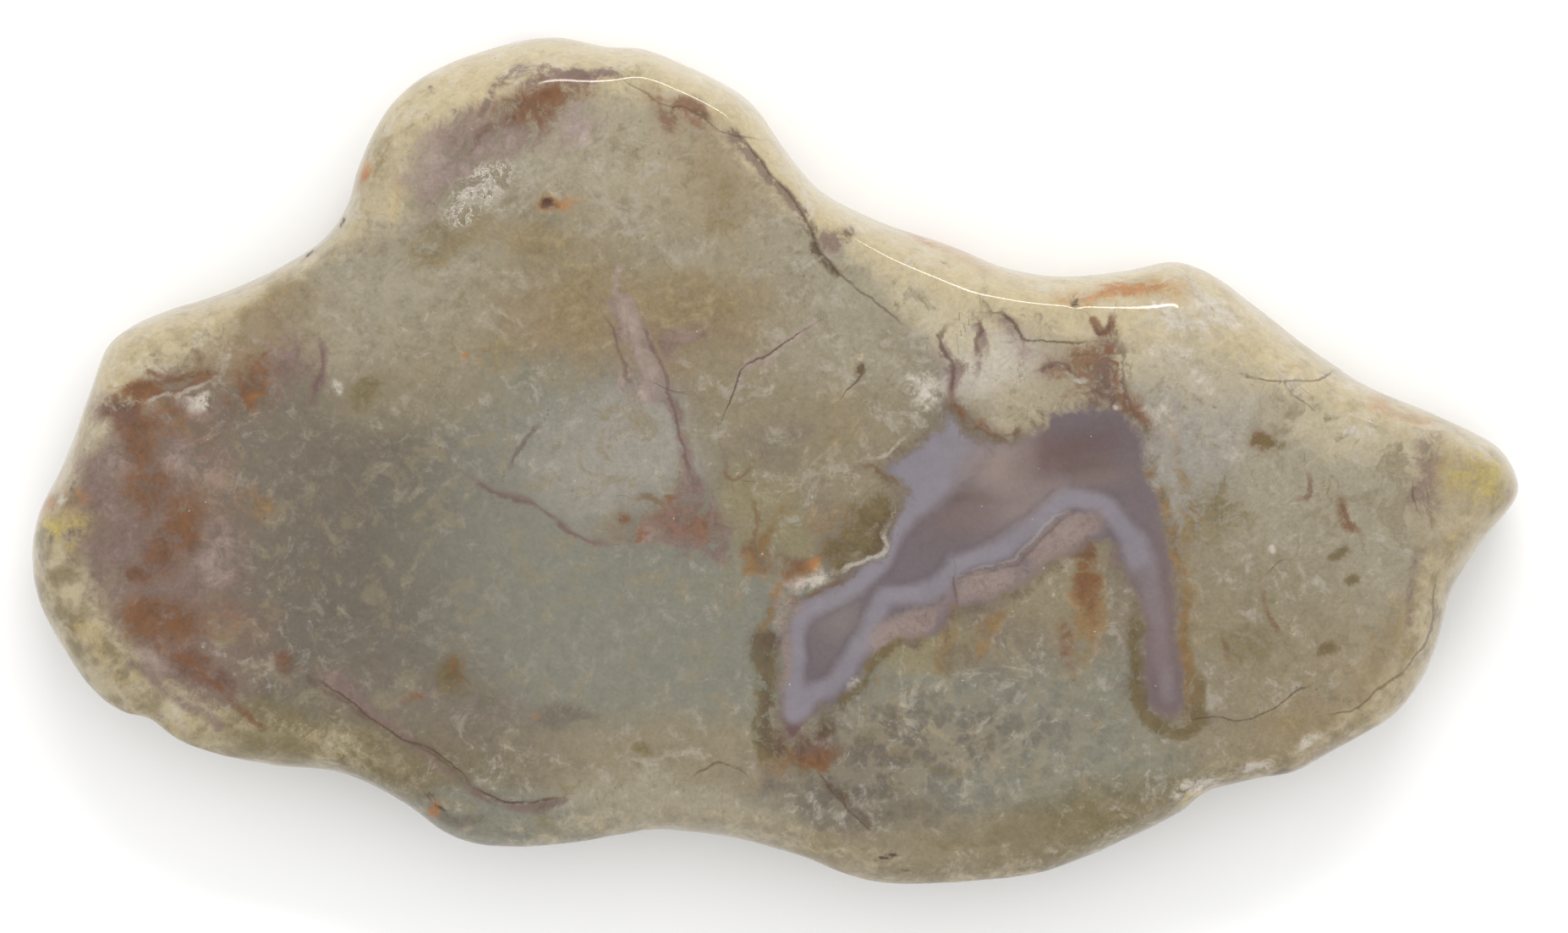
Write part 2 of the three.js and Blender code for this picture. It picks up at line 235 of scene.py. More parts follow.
# Soft stains, each tint over those before it: x, y, half length, half width, turn, strength
STAINS = {
    "slate": [
        (-0.2, -18.2, 0.8, 1.8, 0, 0.7), (20.8, -12.8, 0.7, 1.8, 0, 0.7),
        (25, -15.2, 1.8, 0.8, 0, 0.6), (-16.9, -14.2, 1.2, 0.9, 0, 0.7),
        (-12.2, -15.2, 2.2, 0.9, 0, 0.8), (-18.6, -21.4, 2, 0.6, -10, 0.7),
        (10.6, -11.2, 1, 0.9, 0, 0.8),
    ],
    # The white at 26.2, 9.2 is a painted highlight on the rim; the one at -17.3, 15.2 is a painted
    # glint on the rough patch
    "white": [
        (26.2, 9.2, 2.4, 0.8, -35, 0.8), (24.2, 5.8, 3.2, 1.1, -12, 0.45),
        (8.6, 3.8, 1.3, 1.1, 0, 0.7), (23.6, 8.3, 2.2, 0.7, -8, 0.8),
        (22.4, 2.4, 0.9, 1.2, 0, 0.6), (-17.3, 15.2, 1.8, 1, 35, 0.5),
        (-36.4, 5, 1.4, 0.5, 0, 0.5), (-40, 3.4, 0.9, 0.9, 0, 0.5), (34.2, 2, 2.4, 0.8, -25, 0.4),
    ],
    "tan": [
        (-11.9, 8.7, 1.7, 2, 0, 0.95), (-5, 8.9, 3.4, 1.9, -8, 1), (-19, 12.4, 2.2, 1, 20, 0.8),
        (-13.4, 12.6, 2.4, 1, 0, 0.7), (-6.4, 19.6, 2, 1, -20, 0.3),
        (-3.2, 15.2, 1.4, 2.6, 20, 0.7), (-29.8, 8.6, 3, 0.9, 20, 0.7),
        (-16.4, 6.2, 1.6, 1, 0, 0.6), (3.4, 1.9, 2.2, 2.2, 0, 0.5), (-23.2, 18.2, 1, 1.8, 0, 0.6),
        (-9.4, 22.4, 1.6, 0.5, 0, 0.7), (36, -10.6, 1.4, 2.6, -20, 0.7),
        (30.6, -14.9, 3, 1, 20, 0.7),
    ],
    "ochre": [
        (18.6, -8.2, 1, 3.2, 3, 0.9), (12.9, -9.8, 0.7, 1.6, -28, 0.7),
        (9.9, -10.6, 0.7, 1.6, 10, 0.5), (0.2, -8, 0.7, 1, 0, 0.6), (1.2, -17.4, 1.6, 0.7, 0, 0.9),
        (-42.1, -2.6, 0.8, 0.8, 0, 0.7), (3, -4, 1.6, 1, 30, 0.5), (-33.4, -2.4, 2, 3.4, -8, 0.3),
        (5.6, -12.9, 0.6, 0.8, 0, 0.6), (24.4, -12, 0.6, 2.6, 0, 0.9), (-30, -2.8, 1, 0.7, 0, 0.6),
        (24.1, -3.6, 0.6, 5, 10, 0.5),
    ],
    "moss": [
        (25.9, -2.8, 1.8, 2.1, 0, 0.75), (27.7, -11.1, 1.6, 1.2, 0, 0.7),
        (-19.3, 12.6, 1.8, 0.9, 20, 0.5), (-23.4, 4, 1.4, 0.9, 0, 0.8),
        (5.6, -16.4, 0.9, 0.6, 0, 0.7), (8.2, -17.4, 0.9, 0.5, 0, 0.6),
        (10.4, -18.1, 1, 0.5, 0, 0.6), (-7.8, -17.5, 0.6, 0.5, 0, 1),
        (31.4, 3.5, 0.9, 0.4, -30, 0.5), (-30, -16.7, 2.2, 0.7, -8, 0.8),
        (12, -22.4, 6, 0.7, 4, 0.5),
    ],
    "mauve": [
        (-39.7, -3, 1.5, 3.3, 5, 0.8), (-36, -4.4, 2.8, 3.6, 0, 0.75),
        (-34.6, 0.6, 1.6, 1, 0, 0.6), (-34.4, -7.4, 2.2, 1, 0, 0.6),
        (-38.1, 2.2, 1.3, 1, -20, 0.9), (-27.9, 5.4, 1.6, 1.8, 0, 0.75),
        (-15.7, 19.5, 3.2, 1.5, 46, 0.7), (-18.7, 19.9, 1.1, 0.7, 50, 0.7),
        (-19.2, 16.6, 2.4, 1.4, 62, 0.5), (-11.6, 22.3, 2.8, 0.3, 4, 0.9),
        (-9.1, 7.3, 0.7, 0.4, 0, 0.8), (-5.8, 6.9, 1.9, 0.7, -5, 0.85),
        (-4.3, -4.4, 2.3, 1.2, -8, 1), (-4.6, -2.4, 1.1, 1.5, 10, 1),
        (-6.4, -4.8, 1.3, 0.6, 0, 0.7), (38.2, -0.8, 0.9, 2.2, 0, 0.75),
        (13.6, 7.6, 1.3, 0.35, -35, 0.6), (10.2, 5.2, 0.5, 1.7, 12, 0.8),
        (11.6, 6.6, 0.35, 1.3, -5, 0.7), (16, 4.9, 1.2, 0.4, 10, 0.4),
        (-35.2, -11.6, 1.6, 0.9, -35, 0.8), (3.2, 12.2, 1.2, 0.6, -55, 0.9),
        (-24.8, -13.9, 1.2, 0.7, -30, 0.6), (20.6, -5.6, 0.6, 0.8, 0, 0.5),
        (10.4, -8.4, 0.6, 1, 0, 0.7), (21.4, -13, 0.35, 2.4, 4, 0.5),
        (-31.8, -5.2, 1.6, 1.8, 0, 0.45),
    ],
    "olive": [
        (5.8, -2.9, 0.8, 1.1, -25, 1), (5.2, -4.5, 1.1, 0.8, 20, 1), (3.7, -5.5, 1, 0.6, 15, 1),
        (15, 2.6, 0.8, 0.4, 0, 0.5), (12.2, 2.3, 1.2, 0.4, -20, 0.4),
        (-19, -12.8, 0.9, 1.2, 0, 0.8), (-23.4, 4.2, 0.9, 0.5, 10, 0.5),
    ],
    "pink": [
        (-11.4, 19.6, 1.8, 1.1, 20, 0.7), (-19.6, 17.6, 1.6, 1.6, 60, 0.7),
        (-16.4, 18.6, 1.2, 0.8, 40, 0.5), (-33.7, 3.3, 1.1, 0.6, 0, 0.8),
        (-35.8, -11, 1.2, 0.8, 0, 0.9), (-8.2, 4.6, 0.9, 1.4, 12, 0.8),
        (-8, -4.9, 0.9, 0.4, 10, 0.5), (0.4, -7.4, 1, 0.4, 10, 0.7),
        (-34.8, -0.6, 1.2, 0.7, 0, 0.6), (-32.8, -5.8, 1.2, 0.9, 0, 0.55),
        (-38.6, 0.2, 0.8, 1, 0, 0.5), (0.1, -9.4, 0.6, 1.2, -15, 0.8),
        (20.3, 4.4, 0.4, 0.8, 0, 0.6), (15, 6.2, 1.4, 0.8, -10, 0.5),
    ],
    "yellow": [
        (41.4, -1, 1.8, 1.2, -20, 0.8), (-42, -4.4, 1.1, 0.6, 10, 0.9),
        (-26, -17.5, 0.8, 0.4, 0, 0.5), (31, -18.2, 0.9, 0.4, 20, 0.5),
        (24.8, -19.6, 1.2, 0.4, 25, 0.5),
    ],
}

# Iron stains, laid over the soft ones with sharper edges
IRON = {
    "sienna": [
        (-13.2, 21.3, 2.2, 0.9, 10, 1), (-5.3, 20.2, 1.6, 0.6, -25, 0.95),
        (-4.5, -3.7, 1.2, 0.9, 0, 0.7), (-7.4, -4, 2.2, 0.9, 0, 0.6), (18.3, 5, 1.5, 1.6, 0, 0.5),
        (16.4, 5, 1.6, 0.6, 0, 0.35), (-32, 3.8, 2.2, 1.2, 0, 0.4), (-31.4, -9.6, 2, 1.4, 0, 0.4),
        (12.8, 2.2, 1.6, 0.4, -20, 0.5), (-38.2, 2.2, 0.9, 0.9, 0, 0.5),
        (2, -17.2, 1, 0.6, 0, 0.7),
    ],
    "plum": [
        (19.2, 5, 0.5, 1.8, 4, 0.8), (20.4, 3.2, 0.4, 1.2, 20, 0.7),
        (1.6, -16.4, 1.2, 0.5, 0, 0.8), (-38.3, 2.6, 1, 0.6, -30, 0.9),
        (-33.4, -12.6, 1.8, 0.5, -42, 0.8), (-29, -12.2, 0.6, 0.4, 0, 0.9),
        (-17, 19.4, 0.9, 0.4, 50, 0.5), (-37.6, -6.6, 0.8, 0.4, 0, 0.6),
        (10.3, 4.4, 0.3, 0.9, 10, 0.6), (4, 12.6, 0.9, 0.4, -50, 0.7),
    ],
    "rust": [
        (-13.2, 20.9, 1.8, 0.6, 6, 0.9), (18.5, -6.4, 0.6, 1.8, 3, 0.7),
        (-36.6, -0.6, 1.1, 4.6, 0, 0.22), (-30, 5, 1.4, 2, 0, 0.3), (-36.1, -9.3, 2.3, 1.2, -5, 1),
        (-37, -2.1, 1.3, 1.2, 0, 0.75), (-37, 3.8, 1.5, 0.6, 8, 0.9), (-35.4, 2, 2.6, 1, 0, 0.55),
        (-37.2, 1, 0.7, 1.1, -10, 0.8), (-34.6, -3.6, 0.8, 1.6, -8, 0.85),
        (-36.1, -5.2, 0.7, 0.6, 0, 0.7), (-37.5, -6.4, 0.9, 0.6, 0, 0.7),
        (-30.3, 4.4, 1, 1.4, 10, 0.5), (-34, -11.8, 1.4, 0.6, -45, 0.4),
        (-28.9, -12.1, 0.7, 0.5, 0, 0.7), (17.8, 5.9, 0.9, 0.7, 0, 0.7),
        (-0.6, -5.4, 0.6, 1.2, -28, 0.8), (1, -6.2, 0.9, 0.5, 20, 0.9),
        (18.6, -6.6, 0.7, 1.8, 3, 0.8), (17.5, -11, 0.5, 1.4, 12, 0.6),
        (33.4, -3.4, 0.4, 1.3, 25, 0.8), (29.2, 0.9, 0.9, 0.5, -8, 0.8),
        (1.6, -17.6, 1.1, 0.5, 0, 0.7), (2.2, -17.4, 0.8, 0.6, -10, 0.8),
        (-20.9, -13.9, 0.5, 0.4, 0, 0.5), (-18.6, -12.4, 0.5, 0.9, 0, 0.5),
        (21.6, 2.2, 0.5, 1.2, 25, 0.7), (10.9, 3.2, 0.35, 0.9, 10, 0.7),
    ],
    "orange": [
        (-42.8, -2.9, 0.5, 0.7, 0, 0.9), (-41, -2.2, 0.8, 0.4, -40, 0.5),
        (-24.5, 17.2, 0.4, 0.9, -10, 0.9), (-12.4, 15.2, 1, 0.55, 15, 0.8),
        (10.6, 12.4, 3, 0.7, -22, 0.45), (21.3, 9.9, 2.2, 0.55, -3, 0.95),
        (17.6, 9.6, 1.6, 0.5, 0, 0.4), (37.4, 2.9, 2.4, 0.6, -25, 0.5),
        (-20.3, -20.9, 0.35, 0.6, -15, 1),
    ],
}

# Marks with an edge: as the stains, and as strokes, which are a half width, a strength and
# then the x and y of each point
MARKS = {
    "olive": [
        (33, -5.6, 0.6, 0.3, 20, 1), (29.2, 0.9, 0.9, 0.35, -8, 1), (33.9, -7, 0.4, 0.3, 30, 1),
        (32.4, -11.2, 0.6, 0.35, 20, 1),
    ],
    "rust": [
        (-36.9, 3.9, 0.9, 0.4, 10, 1), (-30.6, 3.7, 0.6, 0.4, 10, 0.9),
        (-29.8, 6.1, 0.3, 0.35, 0, 0.8), (-29.6, 4.9, 0.3, 0.3, 0, 0.8),
        (-34.6, -4, 0.35, 0.8, -10, 0.8), (-37.4, -9, 0.9, 0.5, 20, 0.8),
        (-35.2, -9.6, 0.9, 0.5, -10, 0.8), (-13.2, 21.3, 1.3, 0.35, 10, 0.8),
        (-6.2, -2.4, 0.4, 0.25, 20, 0.9), (-8.8, -3.4, 0.6, 0.25, -10, 0.9),
        (-7.8, -4.5, 0.7, 0.3, 20, 0.8), (18.6, -6.2, 0.35, 1.2, 3, 0.6),
        (26, -19.2, 0.45, 0.25, 20, 1), (0.7, -6.9, 0.4, 0.35, 0, 0.9),
    ],
    "orange": [
        (2.2, -6.1, 0.8, 0.4, 35, 0.8), (-43, -2.2, 0.3, 0.5, 0, 1), (-24.4, 17, 0.25, 0.35, 0, 1),
        (-12.9, 14.6, 0.4, 0.2, 10, 0.8), (-20.3, -20.9, 0.2, 0.35, -15, 1),
        (-13.8, -15, 0.5, 0.25, 0, 0.7), (-30.3, 3.7, 0.3, 0.2, 0, 0.5),
        (20.4, 10.6, 1.3, 0.25, -6, 0.7), (22.6, 10, 0.8, 0.2, 8, 0.7),
        (9.2, 12.6, 0.9, 0.2, -20, 0.6), (-18.4, 6.1, 0.2, 0.2, 0, 0.9),
    ],
    # The white at -41.9, -2.4, in the pit at the left end, is a painted glint
    "white": [
        (2, -7.2, 1.1, 0.35, 25, 0.9), (-25.6, 4.4, 0.35, 0.45, 20, 0.8),
        (29.1, -5.4, 0.2, 0.25, 0, 1), (20.2, 2.9, 0.2, 0.2, 0, 0.6),
        (17.8, 4.6, 0.5, 0.15, 5, 0.8), (-41.9, -2.4, 0.25, 0.3, 0, 0.9),
        (24.5, -19.2, 1.3, 0.4, 22, 0.9), (28.2, -18, 0.9, 0.3, 15, 0.8),
        (31.2, -16.5, 0.9, 0.35, 30, 0.7), (-33.5, 3.5, 0.8, 0.5, 20, 0.8),
        (4.5, -13, 0.5, 0.2, 50, 0.6), (11.7, 5.8, 0.5, 0.6, 0, 0.3),
    ],
    "dark": [
        (-25.5, 14.2, 0.2, 0.4, -20, 0.9), (-27.6, 12.3, 0.35, 0.15, 30, 0.9),
        (-19.9, 21.7, 0.25, 0.12, -30, 0.9), (-13.1, 15, 0.42, 0.36, 0, 1),
        (17.5, 9.4, 0.22, 0.4, 0, 1), (9.9, 11.5, 0.35, 0.13, -10, 0.9),
        (6.6, -23.4, 0.8, 0.15, 12, 0.8), (7.5, -24.4, 0.5, 0.13, 10, 0.8),
        (-19.3, -20.8, 1, 0.15, -30, 0.7),
    ],
    "umber": [
        (-0.8, -10.8, 0.8, 0.7, 0, 1), (29.7, -18.5, 1, 0.2, 14, 0.9),
        (2.9, -15.9, 0.7, 0.4, 30, 0.8), (0.2, -16.9, 0.5, 0.5, 0, 0.7),
        (-20.4, -19.7, 0.6, 0.18, -15, 0.8), (5.1, 5.1, 0.2, 0.3, -30, 1),
        (25.6, 3.3, 0.2, 0.12, 0, 0.8), (-6.9, 18.2, 0.3, 0.2, 0, 0.7),
        (-4.3, 20, 0.6, 0.2, -25, 0.7),
    ],
}
STROKES = {
    "mauve": [
        (0.55, 0.9, -9.1, 8.9, -8.3, 7.6, -7.6, 6.3, -7.2, 5.1, -6.9, 3.9),
        (0.4, 0.8, -6.6, 3.9, -5.9, 2.6, -5.4, 1.2, -5.1, -0.6, -4.4, -1.6),
        (0.25, 0.9, -17.1, 20.4, -16.4, 21.9, -14.8, 22.7, -12.4, 22.5, -9.4, 22.4),
        (0.3, 0.7, -26.6, 7.1, -26.4, 5.6, -27.1, 3.4),
        (0.25, 0.55, -17.7, -1.3, -15.9, -2.2, -13.9, -2.8, -11.5, -4.4, -9.6, -5),
        (0.4, 0.7, 1.4, 13.8, 0.7, 15.2, -1, 17.2, -2.6, 19),
        (0.3, 0.6, 37.4, -5.4, 37.2, -7.8, 37.3, -9.6),
        (0.35, 0.7, -37.6, -12, -36.4, -12.4, -34.9, -14, -32.4, -15.8),
        (
            0.4, 0.6, -26.8, -12.7, -24.6, -14.3, -21.7, -16.3, -19.9, -17.7, -17.6, -19.6, -15.2,
            -20.5, -12.4, -20.1,
        ),
    ],
    "olive": [
        (
            0.4, 1.1, 21.2, -9.6, 21.1, -12.4, 21.3, -14.4, 22.2, -15.6, 23.8, -15.9, 25, -15.2,
            24.9, -13.2,
        ),
        (0.45, 1.2, -0.7, -11.6, -0.6, -13.8, -0.7, -15.6, -0.6, -17.4),
        (0.28, 1.1, 7.3, -10.5, 5.9, -11.6, 5.3, -12.6, 5, -13.4, 3.7, -14.4),
    ],
    "pink": [
        (0.55, 0.9, -8.9, 8.6, -8, 7, -7.5, 5.4, -7.1, 4.2),
        (0.35, 0.6, -9.2, 11.2, -9.3, 9.9, -8.8, 8.9),
        (0.3, 0.7, 2.2, 7.8, 0.6, 6.9, -0.4, 6.1, -1.7, 5.4, -2.5, 4.2),
    ],
    "ochre": [
        (
            0.35, 0.6, 21.7, -0.5, 22.6, -2.1, 23.1, -4.1, 23.6, -5.8, 24.2, -7.6, 24.1, -9.9,
            24.4, -12.1, 24.6, -13.9,
        ),
        (0.35, 0.8, 0.6, -3.1, 0.1, -4.1, -0.6, -5.1, -1.6, -6.4),
        (0.3, 0.7, 0.2, -7.4, -0.4, -8.8, -1, -10),
        (0.25, 0.7, 13.4, -9.2, 12.6, -10.4, 11.9, -11.4),
        (0.25, 0.6, 10.6, -8.4, 10.4, -10.6, 9.6, -12.2),
    ],
    "rust": [
        (0.2, 0.9, -37.9, 4.2, -35.1, 3.7, -33.6, 4.6, -32.6, 5.2),
        (0.2, 0.7, -36.6, 5, -34.6, 4.8, -33.1, 5.3),
        (0.22, 0.8, -34.6, -11.6, -33.4, -12.6, -32.1, -14.1, -30.1, -15.8),
        (0.25, 0.9, 18.4, 8.2, 19.2, 7.4, 19.6, 8.2),
        (0.25, 0.6, 19.4, 6.4, 20.1, 5.4, 20.3, 3.9, 20.8, 2.4),
    ],
    "umber": [
        (0.2, 0.5, -27.4, -12.9, -25.8, -14.1, -23.8, -15.3, -21.8, -16.3, -20.3, -17.1),
        (
            0.22, 0.6, -20.3, -17.1, -19.3, -18.1, -18.3, -19.1, -17.1, -20.1, -15.6, -20.4, -13.8,
            -20.4, -12.3, -20.1,
        ),
        (0.22, 0.6, -2.3, 19.1, -1.8, 18.1, -0.8, 17.6, -0.3, 16.6, 0.7, 15.6, 1.4, 14.4),
        (0.28, 0.8, 1.4, 14.4, 2.1, 13.1, 2.3, 12.1, 3.1, 11.1, 3.7, 10.6),
        (0.3, 0.5, 2.6, -18.7, 4.4, -20.1, 6, -21.7),
        (0.25, 0.8, -0.6, -12, -0.5, -14, -0.5, -16.8),
    ],
}

# Thin lines by field and tint, each as a stroke. Those of one field keep apart.
LINES = {
    ("cracks", "umber"): [
        (0.06, 1, 2.2, 7.8, 0.9, 7.1, -0.4, 6.2, -1.8, 5.4, -2.5, 4.2, -3.2, 2.4),
        (0.05, 0.6, -9, 22.4, -7.8, 21.4, -4.9, 20.2, -2.6, 18.9, -0.6, 18.8),
        (0.05, 0.8, 24.1, -15.1, 28.1, -15, 29.9, -13.9, 31.6, -13),
        (0.05, 0.7, 28.4, -6.9, 29.4, -6.2, 30.6, -6),
        (0.06, 0.9, -26.9, -12.9, -24.9, -14.4, -22.3, -16.2, -19.9, -17.3, -17.9, -19.4),
        (0.05, 0.7, 2.1, -18.1, 3.4, -19.4, 6.1, -22.1), (0.04, 0.7, -6.6, 11.9, -6.1, 10.9),
        (0.08, 0.9, 11.7, 8.6, 12.9, 8.5, 13.7, 8, 14.2, 7.5, 14.8, 6.9, 15.9, 6.8, 18.6, 6.9),
    ],
    ("fissures", "umber"): [
        (0.05, 0.9, 5.6, 5.3, 4.9, 4.5, 3.8, 3.3),
        (0.07, 0.75, -2.3, 19.1, -0.8, 17.6, 0.7, 15.6, 1.9, 13.4, 2.6, 11.9, 4.4, 10.1, 7.4, 7.7),
        (0.06, 1, -17.9, -19.4, -15.8, -20.3, -12.4, -19.9),
        (0.06, 0.8, 27.1, 5.2, 28.6, 4.7, 31.4, 4.6, 33.6, 5.6),
        (0.05, 0.8, -5.1, -18.6, -3.9, -18.1, -2.9, -17.9, -1.6, -18.4),
        (0.04, 0.6, 29.9, 4.1, 31.1, 3.2, 31.9, 2.6),
        (0.06, 0.7, 38.9, -6.9, 38.6, -9.4, 37.9, -11.2, 36.6, -12.6, 34.2, -14.4, 32.2, -14.6),
        (0.04, 0.6, -7.8, 4.7, -6.3, 4, -5.1, 3.7), (0.06, 0.6, 37.4, -1.2, 38, -3.4),
        (0.06, 0.6, -21.4, -16.7, -19.8, -17.6, -18.9, -18.6),
    ],
    ("crust", "white"): [
        (0.11, 1, 6.5, -3.4, 6.2, -4.3, 6.4, -5.1, 5.7, -5.7, 4.6, -6.1, 3.5, -6.6),
        (0.1, 0.7, 5.2, -0.2, 6.6, 0.2, 7.8, 1.4),
        (0.1, 0.8, -37, 3.3, -35.4, 3.5, -34, 4.2, -32.8, 4.8),
        (0.09, 0.35, 11.4, -6.6, 13.6, -6, 14.8, -5.2, 15.7, -4, 17.4, -3),
    ],
    ("seams", "plum"): [
        (0.12, 0.9, 10.4, 7.9, 9.8, 7.2, 9.8, 6.4, 10.3, 5.2, 10.3, 3.8),
        (0.12, 0.9, 11.9, 8.7, 12, 7.6, 11.6, 6.9, 11.7, 5.9),
        (0.1, 0.8, 14.9, 4.9, 15.9, 5.3, 16.9, 5.5, 17.3, 4.9, 18.4, 4.6),
        (0.12, 0.9, 18.4, 8.2, 19.1, 7.4, 19.7, 8.3),
        (0.12, 0.8, 20, 6.6, 20.5, 5.4, 20.7, 3.9, 21.2, 2.4),
        (0.12, 0.7, -13.7, 2.2, -14.9, 0.7, -15.7, -0.9),
        (0.1, 0.6, -17.7, -1.3, -15.9, -2.2, -13.9, -2.8, -11.5, -4.4, -9.6, -5),
        (0.1, 0.7, -10.2, 8.6, -9.3, 6.8, -8.7, 5.2, -8.2, 3.8),
        (0.1, 0.7, -7.9, 8.2, -7.2, 6.4, -6.6, 5, -6.5, 3.9, -5.9, 2.6, -5.4, 0.6, -4.9, -1),
        (0.1, 0.7, 10.6, -6.4, 10.5, -7.4, 10.7, -8.6),
        (0.08, 0.6, 12.2, -6.8, 13.9, -6.3, 15.1, -5.4, 16, -4.3, 17.4, -3.4),
        (0.12, 0.6, -26.6, 7.1, -26.4, 5.6, -27.1, 3.4),
    ],
    ("streaks", "rust"): [
        (0.16, 0.9, 33.1, -1.9, 33.4, -2.9, 34, -3.9, 34.3, -4.8),
        (0.14, 0.9, 28.4, -7.4, 28.8, -9.3, 29.6, -10.6), (0.1, 0.8, 26.3, -10.3, 26.6, -12.3),
        (0.13, 0.9, 31.2, -0.6, 31.4, -1.6, 30.9, -2.4, 30.2, -2.5),
        (0.12, 0.8, 4.7, -0.9, 5.7, -0.6, 6.7, -1.1, 7.6, -1.8),
        (0.12, 0.9, 4.2, -6.9, 3.4, -7.3, 2.4, -7.7, 1.4, -8.3),
        (0.12, 0.7, -3.2, 0.4, -2.9, -0.8, -2.3, -0.9, -1.2, -0.1),
        (0.12, 0.8, 11, 3, 11.7, 2.1, 12.6, 1.6, 13.9, 1.5, 14.6, 2.3),
        (0.12, 0.8, -8.4, -2.2, -7.4, -2.4, -6.2, -2.9),
        (0.12, 0.7, -1.6, -1.9, -1, -3.4, -1.2, -5.2, -0.8, -6.1),
        (0.14, 0.8, -38.1, 4.2, -36.4, 4.3, -34.4, 4.9, -33.1, 5.5),
    ],
}

# The agate vein: its wall, its lavender bands as strokes, and tints inside it
VEIN = [
    (0.4, -15.8), (0.05, -14.6), (0.25, -12.8), (0.05, -11.6), (-0.25, -10.6), (0.4, -9.6),
    (0.9, -8.6), (2.15, -7.8), (3.4, -7.2), (4.2, -6.6), (5.4, -5.9), (6.2, -5.3), (6.4, -4.4),
    (6.6, -3.4), (7.15, -2.7), (7.6, -1.8), (7.1, -1.3), (6.4, -0.7), (7.1, -0.1), (8.2, 0.5),
    (8.9, 1.4), (9.6, 2.2), (10.05, 2.9), (10.6, 2.4), (11.2, 1.6), (12.4, 1.2), (13.9, 1.1),
    (14.9, 1.4), (15.6, 1.9), (16.2, 2.6), (17.4, 3), (18.9, 3.1), (20.2, 2.8), (21.2, 1.9),
    (21.6, 0.6), (21.8, -0.6), (22.4, -2.4), (22.9, -3.9), (23.4, -5.8), (23.8, -7.8),
    (23.8, -10.4), (24.2, -12.4), (24.2, -14.1), (23.8, -15.1), (22.9, -15.4), (21.9, -15.1),
    (21.4, -14.1), (21.3, -12.4), (21.5, -10.4), (21.4, -8.6), (21, -7.4), (20.4, -6.1),
    (19.6, -4.9), (18.6, -5.1), (17.2, -5.6), (15.9, -6.2), (14.8, -7.3), (13.2, -8.1),
    (11.6, -8.6), (10.6, -8.7), (10.1, -9.6), (9.2, -10.1), (7.9, -10.4), (6.6, -11.1),
    (5.6, -12.1), (4.9, -13.4), (4.1, -14.2), (2.9, -14.8), (1.9, -15.4), (1.2, -16.4),
]
BANDS = [
    (
        0.5, 1, 1, -14.9, 1.15, -13.8, 1.3, -11.8, 1.25, -10.1, 1.9, -8.8, 3.4, -8, 4.8, -7.2, 5.9,
        -6.3, 6.5, -5.3, 6.8, -4.1, 7.6, -3.1, 8.6, -2.3, 9.6, -1.3,
    ),
    (
        0.55, 1, 1.6, -14.5, 2.9, -13.6, 3.9, -12.6, 4.7, -11.3, 5.4, -9.9, 6, -8.8, 6.9, -8, 8.4,
        -7.8, 9.6, -7.4, 10.5, -6.4, 11.6, -5.8, 13.4, -5.2, 14.8, -4.3, 15.9, -3.3, 17.1, -2.5,
        18.4, -2.4, 19.6, -3, 20.6, -4.4, 21.4, -5.8,
    ),
    (0.75, 0.5, 21.2, -5.2, 21.9, -6.8, 22.5, -8.8, 22.7, -11.4, 22.9, -13.6),
    (1.6, 1, 8.4, -0.9, 9.6, 0.3, 10.3, 1.4),
]
RIBS = [
    (7.6, -9.7, 2, 0.7, 25, 1.1), (6.2, -10.6, 0.9, 0.6, 45, 1), (12.6, -7.3, 2.1, 0.75, 15, 1.1),
    (17.4, -4.3, 1.9, 0.8, 25, 1), (16.2, -5.2, 1.2, 0.5, 35, 1), (0.5, -11.9, 0.45, 2.6, 0, 0.8),
    (1, -8.9, 0.8, 0.5, 40, 0.7),
]
AGATE = {
    "pale": [(3.7, -9.2, 1.3, 1.1, 40, 0.3)],
    "clay": [(19.2, -0.8, 1.6, 0.8, 0, 0.5)],
    "pink": [
        (13.2, -0.3, 2.4, 1.6, 0, 0.75), (14.2, -3.2, 1.8, 1, 15, 0.4),
        (16.4, -1.8, 1.4, 0.6, 0, 0.3),
    ],
    "mauve": [
        (10.7, -3.3, 1.8, 1.2, 10, 0.5), (22.7, -10.6, 1.4, 5, 4, 0.8),
        (1, -15.6, 0.9, 0.9, 0, 0.9),
    ],
    "plum": [
        (1, -15.9, 0.9, 0.8, 0, 0.9), (17.5, 0.6, 2.6, 1, 18, 0.65),
        (15.8, 0.9, 0.5, 1.6, 0, 0.35),
    ],
    "umber": [(18, -0.4, 1.6, 0.3, 5, 0.25), (11, -2.2, 2, 0.3, -5, 0.35)],
}

# Lines and fields


def closed_curve(points, steps):
    """Points of the closed centripetal Catmull-Rom curve through the rows of points.

    Each span is a cubic from its first point to its second. Its slopes there come from the
    three points round each, weighed with the square roots of the distances between them.
    """
    before, start, end, after = (np.roll(points, shift, axis=0) for shift in (1, 0, -1, -2))
    gap = lambda a, b: np.sum((b - a) ** 2, axis=1)[:, None] ** 0.25
    g0, g1, g2 = gap(before, start), gap(start, end), gap(end, after)
    leave = ((start - before) / g0 - (end - before) / (g0 + g1) + (end - start) / g1) * g1
    arrive = ((end - start) / g1 - (after - start) / (g1 + g2) + (after - end) / g2) * g1
    t = (np.arange(steps) / steps)[:, None, None]
    square = -3 * start + 3 * end - 2 * leave - arrive
    cube = 2 * start - 2 * end + leave + arrive
    spans = start + leave * t + square * t**2 + cube * t**3
    return spans.transpose(1, 0, 2).reshape(-1, points.shape[1])


